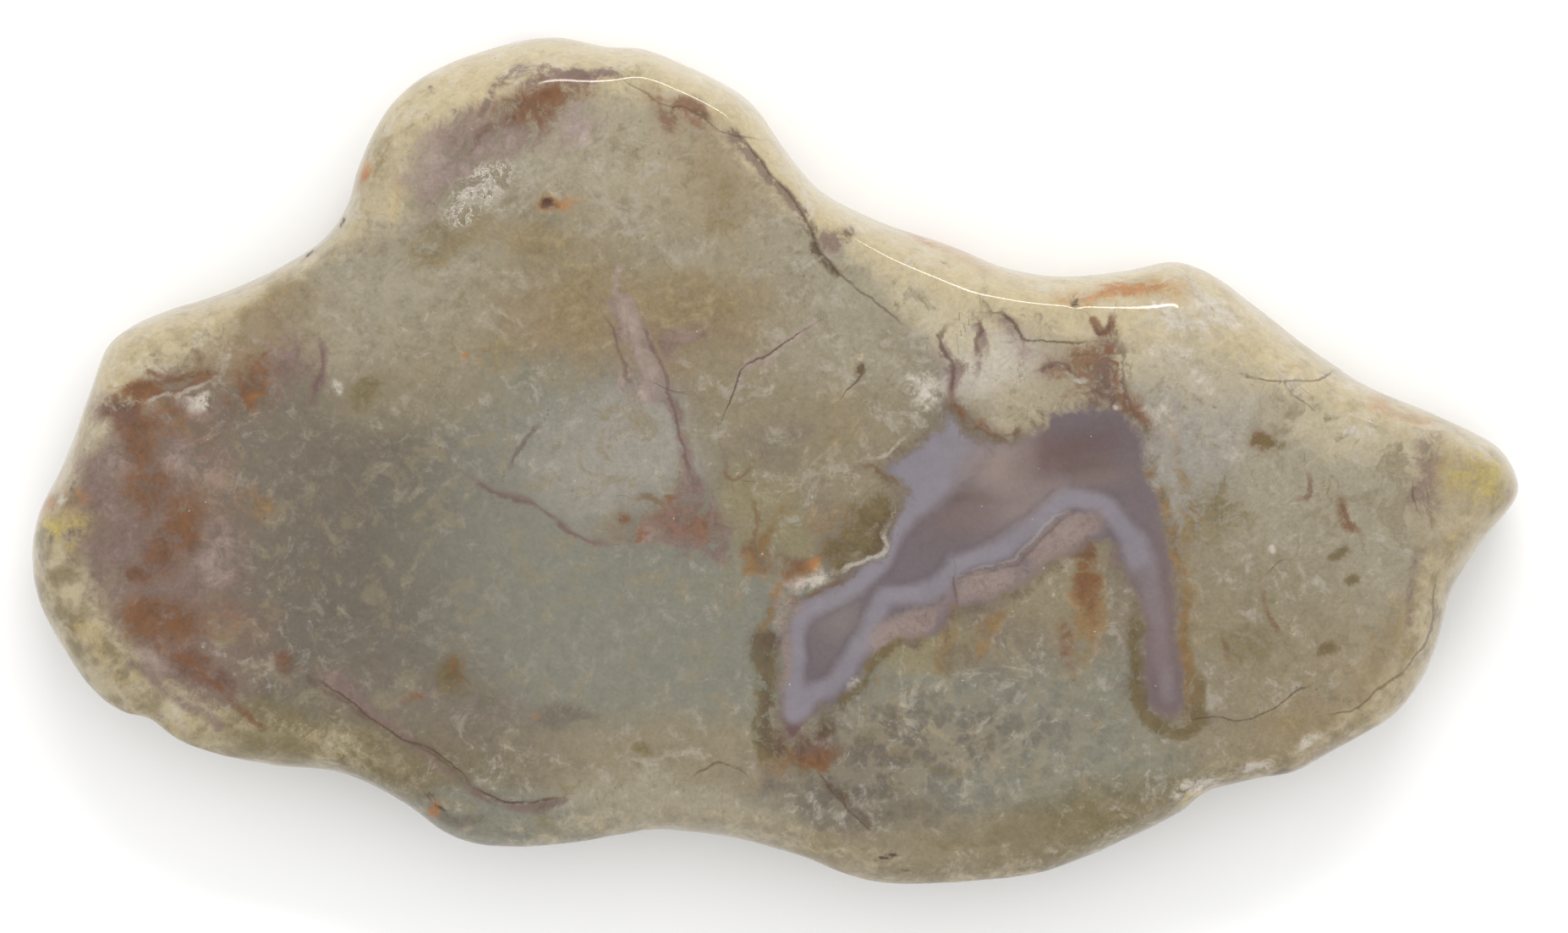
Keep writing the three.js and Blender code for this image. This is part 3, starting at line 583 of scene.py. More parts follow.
def open_curve(points, steps=5):
    """Points of a smooth curve through the given ones, which come as x, y, x, y and so on. Each
    span is a cubic whose slope at a point is half the way from the one before to the one after.
    """
    points = np.reshape(points, (-1, 2)).astype(float)
    slope = np.gradient(points, axis=0)
    t = np.linspace(0, 1, steps, endpoint=False)[:, None, None]
    start, end = points[:-1], points[1:]
    spans = (
        start * (2 * t**3 - 3 * t**2 + 1) + end * (3 * t**2 - 2 * t**3)
        + slope[:-1] * (t**3 - 2 * t**2 + t) + slope[1:] * (t**3 - t**2)
    )
    return np.vstack([spans.transpose(1, 0, 2).reshape(-1, 2), points[-1:]])


def to_line(at, line):
    """Distance from each point to a line of straight steps, and the side of it, 1 or -1.

    On each step the nearest point is where the perpendicular meets it, kept between the ends.
    """
    best = np.full(len(at), np.inf)
    side = np.ones(len(at))
    for a, b in zip(line[:-1], line[1:]):
        step = b - a
        way = at - a
        share = np.clip(way @ step / max(step @ step, 1e-12), 0, 1)
        off = way - share[:, None] * step
        distance = np.hypot(off[:, 0], off[:, 1])
        nearer = distance < best
        best = np.where(nearer, distance, best)
        turn = step[0] * way[:, 1] - step[1] * way[:, 0]
        side = np.where(nearer, np.where(turn < 0, -1.0, 1.0), side)
    return best, side


def depth_inside(at, corners):
    """Distance to a closed line, positive inside it: a point is inside if a line from it
    straight to the right crosses an odd number of steps."""
    line = np.vstack([corners, corners[:1]])
    distance, _ = to_line(at, line)
    a, b = line[:-1, None, :], line[1:, None, :]
    spans = (a[..., 1] > at[:, 1]) != (b[..., 1] > at[:, 1])
    rise = np.where(b[..., 1] == a[..., 1], 1e-9, b[..., 1] - a[..., 1])
    crossing = a[..., 0] + (at[:, 1] - a[..., 1]) / rise * (b[..., 0] - a[..., 0])
    inside = np.sum(spans & (at[:, 0] < crossing), axis=0) % 2 == 1
    return np.where(inside, distance, -distance)


def lattice_noise(at, wavelength, seed):
    """Smooth noise from -1 to 1: random heights on a square lattice, blended between the four
    nearest by the curve 6t^5 - 15t^4 + 10t^3."""
    heights = np.random.default_rng(seed).uniform(-1, 1, (LATTICE, LATTICE))
    where = at / wavelength + 1000
    cell = np.floor(where).astype(int)
    t = where - cell
    blend = t**3 * (t * (t * 6 - 15) + 10)
    i, j = cell.T % LATTICE
    i1, j1 = (i + 1) % LATTICE, (j + 1) % LATTICE
    x, y = blend.T
    low = heights[i, j] * (1 - x) + heights[i1, j] * x
    high = heights[i, j1] * (1 - x) + heights[i1, j1] * x
    return low * (1 - y) + high * y


def bell(distance):
    """1 at no distance, one half at a distance of 1, then falling to nothing."""
    return np.exp(-np.log(2) * distance**2)


def blot_reach(at, x, y, half_length, half_width, turn):
    """Distance from an ellipse's centre, as a multiple of the ellipse's own size there."""
    angle = np.radians(turn)
    along = (at[:, 0] - x) * np.cos(angle) + (at[:, 1] - y) * np.sin(angle)
    across = (at[:, 1] - y) * np.cos(angle) - (at[:, 0] - x) * np.sin(angle)
    return np.hypot(along / half_length, across / half_width)


def pigment_level(at, blots, strokes=()):
    """How much of a pigment lies at each point: a bell over each blot and stroke, joined as
    one minus the product of what each leaves free."""
    free = np.ones(len(at))
    for x, y, half_length, half_width, turn, strength in blots:
        reach = blot_reach(at, x, y, half_length, half_width, turn)
        free *= 1 - np.minimum(strength * bell(reach), FULLEST)
    for half_width, strength, *points in strokes:
        reach = to_line(at, open_curve(points))[0] / half_width
        free *= 1 - np.minimum(strength * bell(reach), FULLEST)
    return 1 - free


def layer(at, tints, blots, strokes=None, under="taupe", cover=0.002):
    """Tints laid one over another, as deep as their levels say, and how much of the ground
    they cover together."""
    colour = cover * np.tile(tints[under], (len(at), 1))
    cover = np.full(len(at), cover)
    strokes = strokes or {}
    for name in dict.fromkeys([*blots, *strokes]):
        level = pigment_level(at, blots.get(name, ()), strokes.get(name, ()))
        colour = colour * (1 - level)[:, None] + level[:, None] * tints[name]
        cover = cover * (1 - level) + level
    return colour / cover[:, None], cover


def ground_colour(at, tints):
    """The ground colour at each point: the mean of the patches' tints, weighed by a bell over
    each patch, with a little of the first tint everywhere."""
    total = np.full(len(at), GROUND_SHARE)
    colour = total[:, None] * tints["taupe"]
    for tint, x, y, half_length, half_width, turn in GROUND_PATCHES:
        weight = bell(blot_reach(at, x, y, half_length, half_width, turn) ** 1.2)
        total = total + weight
        colour = colour + weight[:, None] * tints[tint]
    return colour / total[:, None]


def crack_field(at, cracks):
    """Signed distance to the nearest crack in its own half widths, and a mask that fades out
    beside it and past its ends."""
    best = np.full(len(at), np.inf)
    across = np.full(len(at), FAR_ACROSS)
    mask = np.zeros(len(at))
    for half_width, strength, *points in cracks:
        line = open_curve(points)
        distance, side = to_line(at, line)
        nearer = distance < best
        best = np.where(nearer, distance, best)
        widths = np.clip(distance * side / half_width, -FAR_ACROSS, FAR_ACROSS)
        across = np.where(nearer, widths, across)
        ends = np.min([np.hypot(*(at - end).T) for end in (line[0], line[-1])], axis=0)
        fade = np.clip((1 - distance) / SIDE_FADE, 0, 1) * np.clip(ends / END_FADE, 0, 1)
        mask = np.where(nearer, strength * fade, mask)
    return across, mask


# The slab's surface


def slab_sections(sizes):
    """The slab's sections: for each step round it a point of the widest line, the way in to
    the spine, and the wall's sizes there, as one array for each."""
    fine = closed_curve(OUTLINE, OUTLINE_STEPS)
    fine = np.vstack([fine, fine[:1]])
    run = np.concatenate([[0], np.cumsum(np.linalg.norm(np.diff(fine, axis=0), axis=1))])
    at_turn = lambda turn: np.column_stack(
        [np.interp(turn % 1 * run[-1], run, fine[:, k]) for k in range(3)]
    )
    turn = np.arange(AROUND) / AROUND
    at = at_turn(turn)
    ahead, behind = at_turn(turn + WALL_SPREAD), at_turn(turn + 1 - WALL_SPREAD)
    outward = np.column_stack([ahead[:, 1] - behind[:, 1], behind[:, 0] - ahead[:, 0]])
    outward /= np.linalg.norm(outward, axis=1)[:, None]
    step = np.arange(AROUND)
    spine_step = np.clip(np.minimum(step, AROUND - step), SPINE_FAN, AROUND // 2 - SPINE_FAN)
    share = (spine_step - SPINE_FAN) / (AROUND // 2 - 2 * SPINE_FAN)
    spine = SPINE_CENTRE + np.column_stack([SPINE_HALF * np.cos(np.pi * share), np.zeros(AROUND)])
    inward = spine - at[:, :2]
    reach = np.linalg.norm(inward, axis=1)
    inward /= reach[:, None]
    lean = outward @ LEAN
    lumps = lambda column: sum(
        row[column] * np.sin(2 * np.pi * row[0] * turn + row[1]) for row in WALL_LUMPS
    )
    corner, *bands = np.array(RIND).T
    rind_turn = run[corner.astype(int) * OUTLINE_STEPS] / run[-1]
    return {
        "at": at[:, :2],
        "edge": at_turn(np.arange(AROUND + 1) / AROUND)[:, :2],
        "inward": inward,
        "reach": reach,
        "squareness": np.maximum(-np.sum(outward * inward, axis=1), LEAST_SQUARENESS),
        "shoulder": at[:, 2],
        "foot": FOOT_INSET - FOOT_SHIFT * lean + lumps(2),
        "waist": sizes.thickness / MM * (WAIST_HEIGHT - WAIST_SHIFT * lean) + lumps(3),
        "spine_step": spine_step,
        **{
            name: np.interp(turn, rind_turn, band, period=1)
            for name, band in zip(("rind_width", "rind_ivory", "rind_strength"), bands)
        },
    }


def face_height(at, sizes):
    """Height of the polished face: a shallow crown, the long waves, and fine ripples."""
    fallen = (at[:, 0] / HALF_LENGTH) ** 2 + (at[:, 1] / HALF_WIDTH) ** 2
    height = (sizes.thickness - sizes.crown * fallen) / MM
    for size, along, across, start in WAVES:
        height += size * np.sin(2 * np.pi * (at[:, 0] / along + at[:, 1] / across) + start)
    for wavelength, size, seed in RIPPLES:
        height += size * lattice_noise(at, wavelength, seed)
    return height - RIPPLE_DROP


def wall_rise(share):
    """Rise of the wall from 0 at the widest line to 1 where it meets the face."""
    left = 1 - np.clip(share, 0, 1)
    return (1 - left**WALL_POWER) ** (1 / WALL_POWER)


def slab_rings(sizes):
    """The slab's surface as rings of points: the sections' insets give each ring its x and y,
    and the true distance to the widest line gives it its height.

    Returns points by ring and section, the distance to the widest line, and the section data.
    """
    s = slab_sections(sizes)
    across = lambda width: np.minimum(
        WALL_MARGIN * width / s["squareness"], DEEPEST_WALL * s["reach"]
    )
    shoulder, foot = across(s["shoulder"]), across(s["foot"])
    share_in = lambda rings: 1 - np.cos(np.arange(rings + 1) / rings * np.pi / 2)
    face_share = np.linspace(0, 1, FACE_RINGS, endpoint=False)[:, None]
    insets = np.vstack([
        s["reach"] + (shoulder - s["reach"]) * face_share,
        shoulder * share_in(SHOULDER_RINGS)[::-1, None],
        foot * share_in(FOOT_RINGS)[1:, None],
        foot + (s["reach"] - foot) * np.linspace(0, 1, UNDERSIDE_RINGS + 1)[1:, None],
    ])
    flat = s["at"] + insets[..., None] * s["inward"]
    distance = np.array([to_line(ring, s["edge"])[0] for ring in flat])
    above = FACE_RINGS + SHOULDER_RINGS + 1
    height = np.zeros(insets.shape)
    top = np.array([face_height(ring, sizes) for ring in flat[:above]])
    height[:above] = s["waist"] + (top - s["waist"]) * wall_rise(distance[:above] / s["shoulder"])
    below = slice(above, above + FOOT_RINGS - 1)
    height[below] = s["waist"] * (1 - wall_rise(distance[below] / s["foot"]))
    return np.dstack([flat, height]), distance, s


def roughened(points, distance, sections):
    """The rings with the wall's small lumps and the open pits: a lump moves a point along the
    way in, a pit lowers it by its depth times a bell over its radius."""
    rings = len(points)
    at = points[..., :2].reshape(-1, 2)
    drop = np.zeros(len(at))
    for x, y, radius, depth in PITS:
        drop += depth * bell(np.hypot(at[:, 0] - x, at[:, 1] - y) / radius * PIT_SHARPNESS)
    facing_up = np.arange(rings)[:, None] <= FACE_RINGS + SHOULDER_RINGS
    points[..., 2] -= np.where(facing_up, drop.reshape(rings, -1), 0)
    step = np.arange(AROUND)
    seam = np.clip(np.minimum(step, AROUND - step) / SEAM_STEPS, 0, 1)
    on_wall = np.clip(LUMPS_REACH - distance / sections["shoulder"], 0, 1)
    on_wall *= np.where(points[..., 2] > FLAT_FOOT, 1, 0)
    along, up = np.tile(step * EDGE_STEP, rings), points[..., 2].ravel() * LUMPS_SQUASH
    wave = np.column_stack([along, up])
    for wavelength, size, seed in WALL_ROUGHNESS:
        inwards = size * (0.5 + 0.5 * lattice_noise(wave, wavelength, seed).reshape(rings, -1))
        points[..., :2] += (on_wall * inwards * seam)[..., None] * sections["inward"]
    return points


def slab_fields(points, distance, sections, colours):
    """What the stone's material reads at each point: the colours of the ground, the stains,
    the marks and the agate, and the levels and distances that say where they lie.

    The marks run down through the stone, drifting and wandering as they go, and are bent
    by noise so that no edge is even.
    """
    at = points[..., :2].reshape(-1, 2)
    height = points[..., 2].reshape(-1)
    bends = lambda seed: sum(
        size * lattice_noise(at, wavelength, seed + k)
        for k, (wavelength, size) in enumerate(WANDER)
    )
    wander = np.column_stack([bends(31), bends(41)])
    deep = np.column_stack([lattice_noise(at, DRIFT_WAVELENGTH, seed) for seed in (35, 36)])
    drift = (DRIFT_TOP - height).clip(0)[:, None] * (DRIFT + DRIFT_CHANGE * deep)
    soft, near = at + wander + drift, at + 0.4 * wander + drift
    tints = {name: np.array(getattr(colours, name)) for name in TINTS}
    along = lambda name: np.broadcast_to(sections[name], distance.shape).reshape(-1)
    depth = distance.reshape(-1) * np.where(height < 1e-6, UNDERSIDE_RIND, 1)
    rind = along("rind_strength") * bell((depth / along("rind_width")) ** 1.5)
    # The lower wall, which the material darkens: partly the wall's own colour, partly painted
    # shade under the edge
    wall_and_shade = np.clip((WALL_TOP - height) / WALL_FADE, 0, 1) * (depth < WALL_DEPTH)
    stains, stained = layer(soft, tints, STAINS)
    iron, rusted = layer(soft, tints, IRON, under="rust")
    marks, marked = layer(near, tints, MARKS, STROKES)
    agate, _ = layer(near, tints, AGATE, under="agate", cover=1)
    level = lambda blots, strokes=(): pigment_level(near, blots, strokes)
    stack = lambda *channels: np.column_stack([*channels, *[0 * depth] * (3 - len(channels))])
    vein = depth_inside(near, closed_curve(np.array(VEIN, float), steps=3))
    return {
        "ground": ground_colour(soft + 0.8 * deep, tints),
        "stains": stains,
        "iron": iron,
        "marks": marks,
        "agate": agate,
        "levels": stack(stained, marked, rusted),
        "rind": stack(rind, along("rind_ivory"), wall_and_shade),
        "cells": stack(level(FROST)),
        "vein": stack(vein, level((), BANDS), level(RIBS)),
        "texture": stack(level(CALM), level(UNPOLISHED), level(MARKS["dark"])),
        **{name: stack(*crack_field(near, lines)) for (name, _), lines in LINES.items()},
    }


def slab_triangles(rings, spine_step):
    """Triangles between neighbouring rings. The first and the last ring lie doubled along the
    spine, so their two halves share points and the surface closes."""
    step = np.arange(AROUND)
    corner = np.arange(rings)[:, None] * AROUND + step
    corner[0] = spine_step
    corner[-1] = (rings - 1) * AROUND + spine_step
    after = np.roll(corner, -1, axis=1)
    a, b, c, d = corner[:-1], after[:-1], corner[1:], after[1:]
    faces = np.vstack([np.dstack(t).reshape(-1, 3) for t in ((a, c, d), (a, d, b))])
    first, second, third = faces.T
    return faces[(first != second) & (second != third) & (third != first)]


def mesh_from(name, points, faces, fields):
    """A smooth mesh of triangles in metres, without the points that no triangle uses. Each
    field becomes an attribute of the points."""
    used, index = np.unique(faces, return_inverse=True)
    faces = index.reshape(-1, 3)
    mesh = bpy.data.meshes.new(name)
    mesh.vertices.add(len(used))
    mesh.vertices.foreach_set("co", (points[used] * MM).astype(np.float32).ravel())
    mesh.loops.add(faces.size)
    mesh.loops.foreach_set("vertex_index", faces.astype(np.int32).ravel())
    mesh.polygons.add(len(faces))
    mesh.polygons.foreach_set("loop_start", np.arange(0, faces.size, 3, dtype=np.int32))
    mesh.update(calc_edges=True)
    mesh.polygons.foreach_set("use_smooth", np.ones(len(faces), bool))
    for field, values in fields.items():
        attribute = mesh.attributes.new(field, "FLOAT_VECTOR", "POINT")
        attribute.data.foreach_set("vector", values[used].astype(np.float32).ravel())
    mesh.validate()
    return mesh


# Shader maths


def maths(operation, flipped=False):
    """An operator that adds a Math node with the value and what it is joined with."""
    def operator(value, *others):
        inputs = (*others, value) if flipped else (value, *others)
        return value.shader.node("Math", {"operation": operation}, dict(enumerate(inputs)))

    return operator


class Value:
    """A number that a node puts out. Python's operators on it add Math nodes."""

    def __init__(self, shader, socket):
        self.shader = shader
        self.socket = socket

    __add__ = __radd__ = maths("ADD")
    __mul__ = __rmul__ = maths("MULTIPLY")
    __sub__ = maths("SUBTRACT")
    __rsub__ = maths("SUBTRACT", flipped=True)
    __abs__ = maths("ABSOLUTE")


class Shader:
    """A new material, whose nodes are added by expressions, and the colours they may name."""

    def __init__(self, name, colours=None):
        self.material = bpy.data.materials.new(name)
        self.material.use_nodes = True
        self.tree = self.material.node_tree
        self.tree.nodes.clear()
        self.colours = colours

    def node(self, kind, settings=None, inputs=None, output=0):
        """Adds a node: its settings first, then the values or links of its sockets, which are
        named or numbered. Returns the output asked for."""
        node = self.tree.nodes.new("ShaderNode" + kind)
        for name, value in (settings or {}).items():
            setattr(node, name, value)
        for key, value in (inputs or {}).items():
            if isinstance(value, Value):
                self.tree.links.new(value.socket, node.inputs[key])
            else:
                node.inputs[key].default_value = value
        return Value(self, node.outputs[output]) if node.outputs else node

    def surface(self, inputs):
        """Gives the material that surface and returns it."""
        surface = self.node("BsdfPrincipled", {}, inputs)
        self.node("OutputMaterial", {}, {"Surface": surface})
        return self.material

    def clamped(self, value):
        return self.node("Math", {"operation": "ADD", "use_clamp": True}, {0: value, 1: 0.0})

    def step(self, value, low, high):
        """0 up to low, 1 from high on, and a smooth step between them. With the greater number
        first it falls instead: 1 up to the lesser, 0 from the greater on."""
        settings = {"interpolation_type": "SMOOTHSTEP"}
        return self.node("MapRange", settings, {0: value, 1: low, 2: high})

    def field(self, name):
        """The three channels of one of the mesh's fields."""
        vector = self.node("Attribute", {"attribute_name": name}, output="Vector")
        return [self.node("SeparateXYZ", {}, {0: vector}, k) for k in range(3)]

    def colour_field(self, name):
        return self.node("Attribute", {"attribute_name": name}, output="Color")

    def tint(self, name, share=1.0):
        """One of the colours, made brighter or darker by that factor."""
        return tuple(c * share for c in getattr(self.colours, name))

    def mix(self, under, over, mask, blend="MIX"):
        """The colour over on the colour under, as far as the mask says."""
        full = lambda colour: colour if isinstance(colour, Value) else (*colour, 1)
        settings = {"data_type": "RGBA", "blend_type": blend}
        return self.node("Mix", settings, {0: mask, 6: full(under), 7: full(over)}, 2)

    def coats(self, colour, *coats):
        """The colour with coats laid over it in turn: each a tint, its factor and a mask."""
        for name, share, mask in coats:
            colour = self.mix(colour, self.tint(name, share), mask)
        return colour

    def shaded(self, colour, change):
        """The colour made brighter by that share of it."""
        value = 1 + change
        grey = self.node("CombineColor", {}, {0: value, 1: value, 2: value})
        return self.mix(colour, grey, 1.0, "MULTIPLY")

    def painted(self, name, change):
        """The colour that one of the mesh's fields holds, made brighter by that share."""
        return self.shaded(self.colour_field(name), change)

    def vector(self, operation, *values):
        """A Vector Math node. A plain number stands for all three of its parts."""
        parts = [v if isinstance(v, Value) else (v,) * 3 for v in values]
        return self.node("VectorMath", {"operation": operation}, dict(enumerate(parts)))

    def places(self, grain, seed):
        """The point on the piece, in grains of that many millimetres, moved by the seed."""
        point = self.node("TexCoord", output="Object")
        return self.vector("MULTIPLY_ADD", point, 1 / (grain * MM), seed)

    def cloud(self, grain, seed, detail=4, rough=0.64, bend=0.6):
        """Cloudy noise about 0, mostly between -1 and 1, with grains of that many millimetres."""
        inputs = {"Vector": self.places(grain, seed), "Scale": 1.0, "Detail": detail}
        inputs.update({"Roughness": rough, "Distortion": bend})
        return (self.node("TexNoise", {}, inputs) - 0.5) * 4.0

    def cells(self, grain, seed, bend=0.0):
        """Cells of that many millimetres, bent by noise: the distance to the middle of a cell,
        as a share of the cell's size."""
        where = self.places(grain, seed)
        if bend:
            swirl = self.node("TexNoise", {}, {"Vector": where, "Scale": 1.3, "Detail": 2.0}, 1)
            where = self.vector("MULTIPLY_ADD", swirl, bend * 2, where)
        return self.node("TexVoronoi", {}, {"Vector": where, "Scale": 1.0})

    def threads(self, cloud, width):
        """Thin winding lines: where a cloud changes sign."""
        return self.step(abs(cloud), width, width * 0.2)

    def broken(self, level, cloud, bite, soft):
        """A mask whose edge is where the level is one half, broken up by clouds."""
        return self.step(level * (cloud * bite + 1), 0.5 - soft, 0.5 + soft)


def stone_colour(s):
    """The stone's colour: its ground, the rind, the stains, the agate vein, the marks, the
    cracks and the specks, each laid over what is there, with a painted glint on the rough patch
    and painted shade on the lower wall. Returns it with its masks."""
    stained, marked, rusted = s.field("levels")
    rind, ivory, wall_and_shade = s.field("rind")
    calm, unpolished, dark = s.field("texture")
    frost = s.field("cells")[0]

    cloud = s.cloud(2.4, 11, 4, 0.66, 0.9)
    fine = s.cloud(0.8, 23, 4, 0.72, 0.5)
    grain = s.cloud(0.24, 37, 2, 0.65, 0)
    ragged = s.cloud(1.1, 13, 5, 0.74, 0.9)
    wispy = s.cloud(2.6, 17, 5, 0.74, 1.4)
    torn = wispy * 0.7 + ragged * 0.8 + fine * 0.5
    frilly = ragged * 0.8 - wispy * 0.5 + fine * 0.8
    wisps = wispy + 0.5 * fine
    lively, uneven = 1 - 0.7 * calm, 1 - 0.4 * calm
    net = s.cells(1.1, 19, 0.7) + 0.08 * fine
    bubble = s.cells(1.7, 7, 0.7) + 0.1 * fine + 0.06 * ragged

    ground_shade = (0.05 * cloud + 0.13 * fine + 0.1 * grain + 0.1 * ragged) * uneven
    colour = s.coats(
        s.colour_field("ground"),
        ("stone", 0.94, s.step(cloud + 0.4 * ragged, 0.1, 0.6) * uneven * 0.75),
        ("pale", 1.2, s.step(wisps, 0.1, 0.7) * lively * 0.525),
        ("moss", 1, s.step(ragged - 0.6 * wispy, 0.2, 1) * lively * 0.6),
    )
    colour = s.coats(
        s.shaded(colour, ground_shade),
        ("sand", 1.05, s.step(net, 0.35, 0.7) * frost * 0.35),
        ("moss", 0.85, s.step(net, 0.3, 0.12) * frost * 0.3),
        ("cream", 1.1, s.step(ragged + fine - 0.3 * cloud, 0.8, 1.3) * (1 - calm) * 0.45),
        ("mauve", 0.8, s.threads(wispy + 0.2 * fine, 0.05) * s.step(fine, 0, 0.8) * 0.25),
    )

    crust = s.coats(
        s.tint("rind"),
        ("ivory", 1, s.broken(ivory, cloud * 0.6 + ragged * 0.5, 0.35, 0.5)),
        ("moss", 1.05, s.step(bubble, 0.5, 0.2) * (1 - ivory * 0.8) * (0.65 - 0.4 * wall_and_shade)),
        ("cream", 1, s.step(bubble, 0.4, 0.75) * (1 - ivory) * (0.7 - 0.4 * wall_and_shade)),
        ("straw", 1.1, s.step(wispy + 0.4 * fine, 0.1, 0.8) * 0.5),
        ("white", 1.08, s.step(cloud - 0.6 * ragged, 0.1, 0.8) * (0.15 + 0.5 * ivory)),
        ("tan", 1, s.step(ragged - 0.4 * wispy, 0.45, 1.1) * 0.5),
        ("mauve", 1, s.threads(ragged, 0.1) * s.step(wispy, 0, 0.6) * 0.25),
    )
    crust = s.shaded(crust, 0.04 * cloud + 0.08 * fine + 0.08 * grain + 0.05 * ragged)
    colour = s.mix(colour, crust, s.broken(rind, torn, 0.5, 0.3))

    smoke = s.painted("stains", 0.25 * wispy + 0.25 * fine + 0.1 * grain)
    colour = s.mix(colour, smoke, s.broken(stained, torn, 1, 0.32) * 0.85)
    iron = s.painted("iron", 0.2 * cloud + 0.3 * fine + 0.1 * grain)
    colour = s.mix(colour, iron, s.step(rusted * (torn * 0.6 + 1), 0, 1) * 0.3)
    colour = s.mix(colour, iron, s.broken(rusted, frilly, 1, 0.42) * 0.8)
    colour = vein_colour(s, colour, cloud, fine, grain, ragged, wispy)
    ink = s.painted("marks", 0.2 * cloud + 0.25 * fine)
    colour = s.mix(colour, ink, s.broken(marked, frilly, 1, 0.35) * 0.8)

    crack = 0
    wobble = ragged * 1.3 + fine * 1.1
    for name, tint in LINES:
        across, mask, _ = s.field(name)
        line = s.step(abs(across + wobble), 1.8, 0.4) * mask * s.step(wisps, -1, 0.1)
        colour = s.coats(colour, (tint, 0.9, line * 0.75))
        if tint == "umber":
            crack = line + crack

    flecks = s.step(s.cells(0.9, 3), 0.13, 0.04) * s.step(cloud, 0.3, 0.5)
    sparks = s.step(s.cells(0.7, 31), 0.1, 0.04) * s.step(wispy, 0.3, 0.5)
    rough = s.step(unpolished, 0.2, 0.8)
    # Painted glint: white threads over the patch that the polish left rough
    painted_glint = s.threads(wispy + 0.5 * ragged + 0.3 * fine, 0.16) * rough
    colour = s.coats(
        colour,
        ("dark", 1.8, flecks * 0.4),
        ("white", 1.2, sparks * 0.6),
        ("white", 1.15, painted_glint * 0.85),
        # The lower wall darkened: partly its own colour, partly painted shade under the edge
        ("moss", 0.75, wall_and_shade * (0.6 - 0.45 * ivory)),
    )
    return colour, crack, s.broken(dark, ragged, 0.5, 0.25), wall_and_shade, rough


def vein_colour(s, under, cloud, fine, grain, ragged, wispy):
    """The agate vein over the ground: a body of its own colours, lavender bands edged with a
    dark line, pale grainy ribs, and a brown rim where it meets the stone."""
    depth, band, rib = s.field("vein")
    frayed = depth + ragged * 0.4 + fine * 0.25
    band = band + cloud * 0.03 + fine * 0.03
    body = s.painted("agate", 0.05 * cloud + 0.05 * fine + 0.05 * grain)
    edging = s.step(abs(band - 0.22), 0.18, 0.03) * s.step(wispy, -0.8, 0.8)
    lilac = s.shaded(s.tint("lavender"), 0.03 * cloud + 0.04 * grain)
    freckles = s.step(fine + ragged + grain * 0.4, -0.8, 1.2)
    speckled = s.coats(s.tint("pink", 1.05), ("mauve", 1.05, freckles * 0.8))
    body = s.coats(body, ("agate", 0.72, edging * 0.4))
    body = s.mix(body, lilac, s.step(band, 0.1, 0.95) * (0.85 + 0.15 * cloud))
    body = s.mix(body, speckled, s.broken(rib, ragged + fine * 0.6, 0.6, 0.3) * 0.75)
    body = s.coats(body, ("mauve", 0.85, s.step(frayed, 0.5, 0) * 0.35))
    rim = s.step(abs(frayed + 0.2), 0.6, 0.05) * s.step(cloud + ragged, -0.8, 1)
    return s.mix(s.coats(under, ("umber", 1, rim * 0.6)), body, s.step(frayed, -0.3, 0.5))


def stone_material(colours, polish):
    """Polished stone: glossy where it takes a polish, duller in cracks and pits and on the
    wall, with the faint ripple that tumbling leaves and one patch that it left rough."""
    s = Shader("polished_coprolite", colours)
    colour, crack, pit, wall_and_shade, rough = stone_colour(s)
    # The polish reflects a veil of white over the stone, so its own colour is deeper.
    deeper = s.vector("MULTIPLY_ADD", colour, STONE_DEPTH, -STONE_DEPTH * POLISH_VEIL)
    ripple = s.cloud(1.5, 107, 2, 0.5, 0.3) * RIPPLE_RELIEF
    height = ripple + s.cloud(0.6, 113, 3, 0.7, 1.5) * rough * ROUGH_RELIEF
    return s.surface({
        "Base Color": s.vector("MAXIMUM", deeper, DARKEST),
        "Roughness": s.clamped(polish + 0.35 * crack + 0.45 * pit + 0.1 * wall_and_shade),
        "Normal": s.node("Bump", {}, {"Strength": 1.0, "Distance": MM, "Height": height}),
        "IOR": AGATE_IOR,
    })


# The stage

CAMERA_DISTANCE = 0.5
FRAME_WIDTH = 0.0927  # how much of the stone's plane the picture's long side takes in
CAMERA_AT = (0.48 * MM, -0.44 * MM)
STONE_PLANE = 4.5 * MM
SENSOR = 36
KEY_AT = (0.05, 0.42, 0.36)
KEY_SIZE = (0.34, 0.07)
KEY_COLOUR = (1, 0.99, 0.97)
FLOOR_HALF = 3.0


def key_light(power):
    """A long soft light behind the stone, aimed at it. It draws the light lines on the edge."""
    light = bpy.data.lights.new("key_light", "AREA")
    light.shape = "RECTANGLE"
    light.size, light.size_y = KEY_SIZE
    light.energy = power
    light.color = KEY_COLOUR
    thing = bpy.data.objects.new("key_light", light)
    thing.location = KEY_AT
    thing.rotation_euler = (-thing.location).to_track_quat("-Z", "Y").to_euler()
    thing.visible_camera = False
    bpy.context.scene.collection.objects.link(thing)


def overhead_camera():
    """The camera, straight above the stone and level with the photo's frame."""
    camera = bpy.data.cameras.new("overhead_camera")
    camera.sensor_width = SENSOR
    camera.lens = SENSOR * CAMERA_DISTANCE / FRAME_WIDTH
    camera.clip_start = 0.01
    thing = bpy.data.objects.new("overhead_camera", camera)
    thing.location = (*CAMERA_AT, STONE_PLANE + CAMERA_DISTANCE)
    bpy.context.scene.collection.objects.link(thing)
    bpy.context.scene.camera = thing


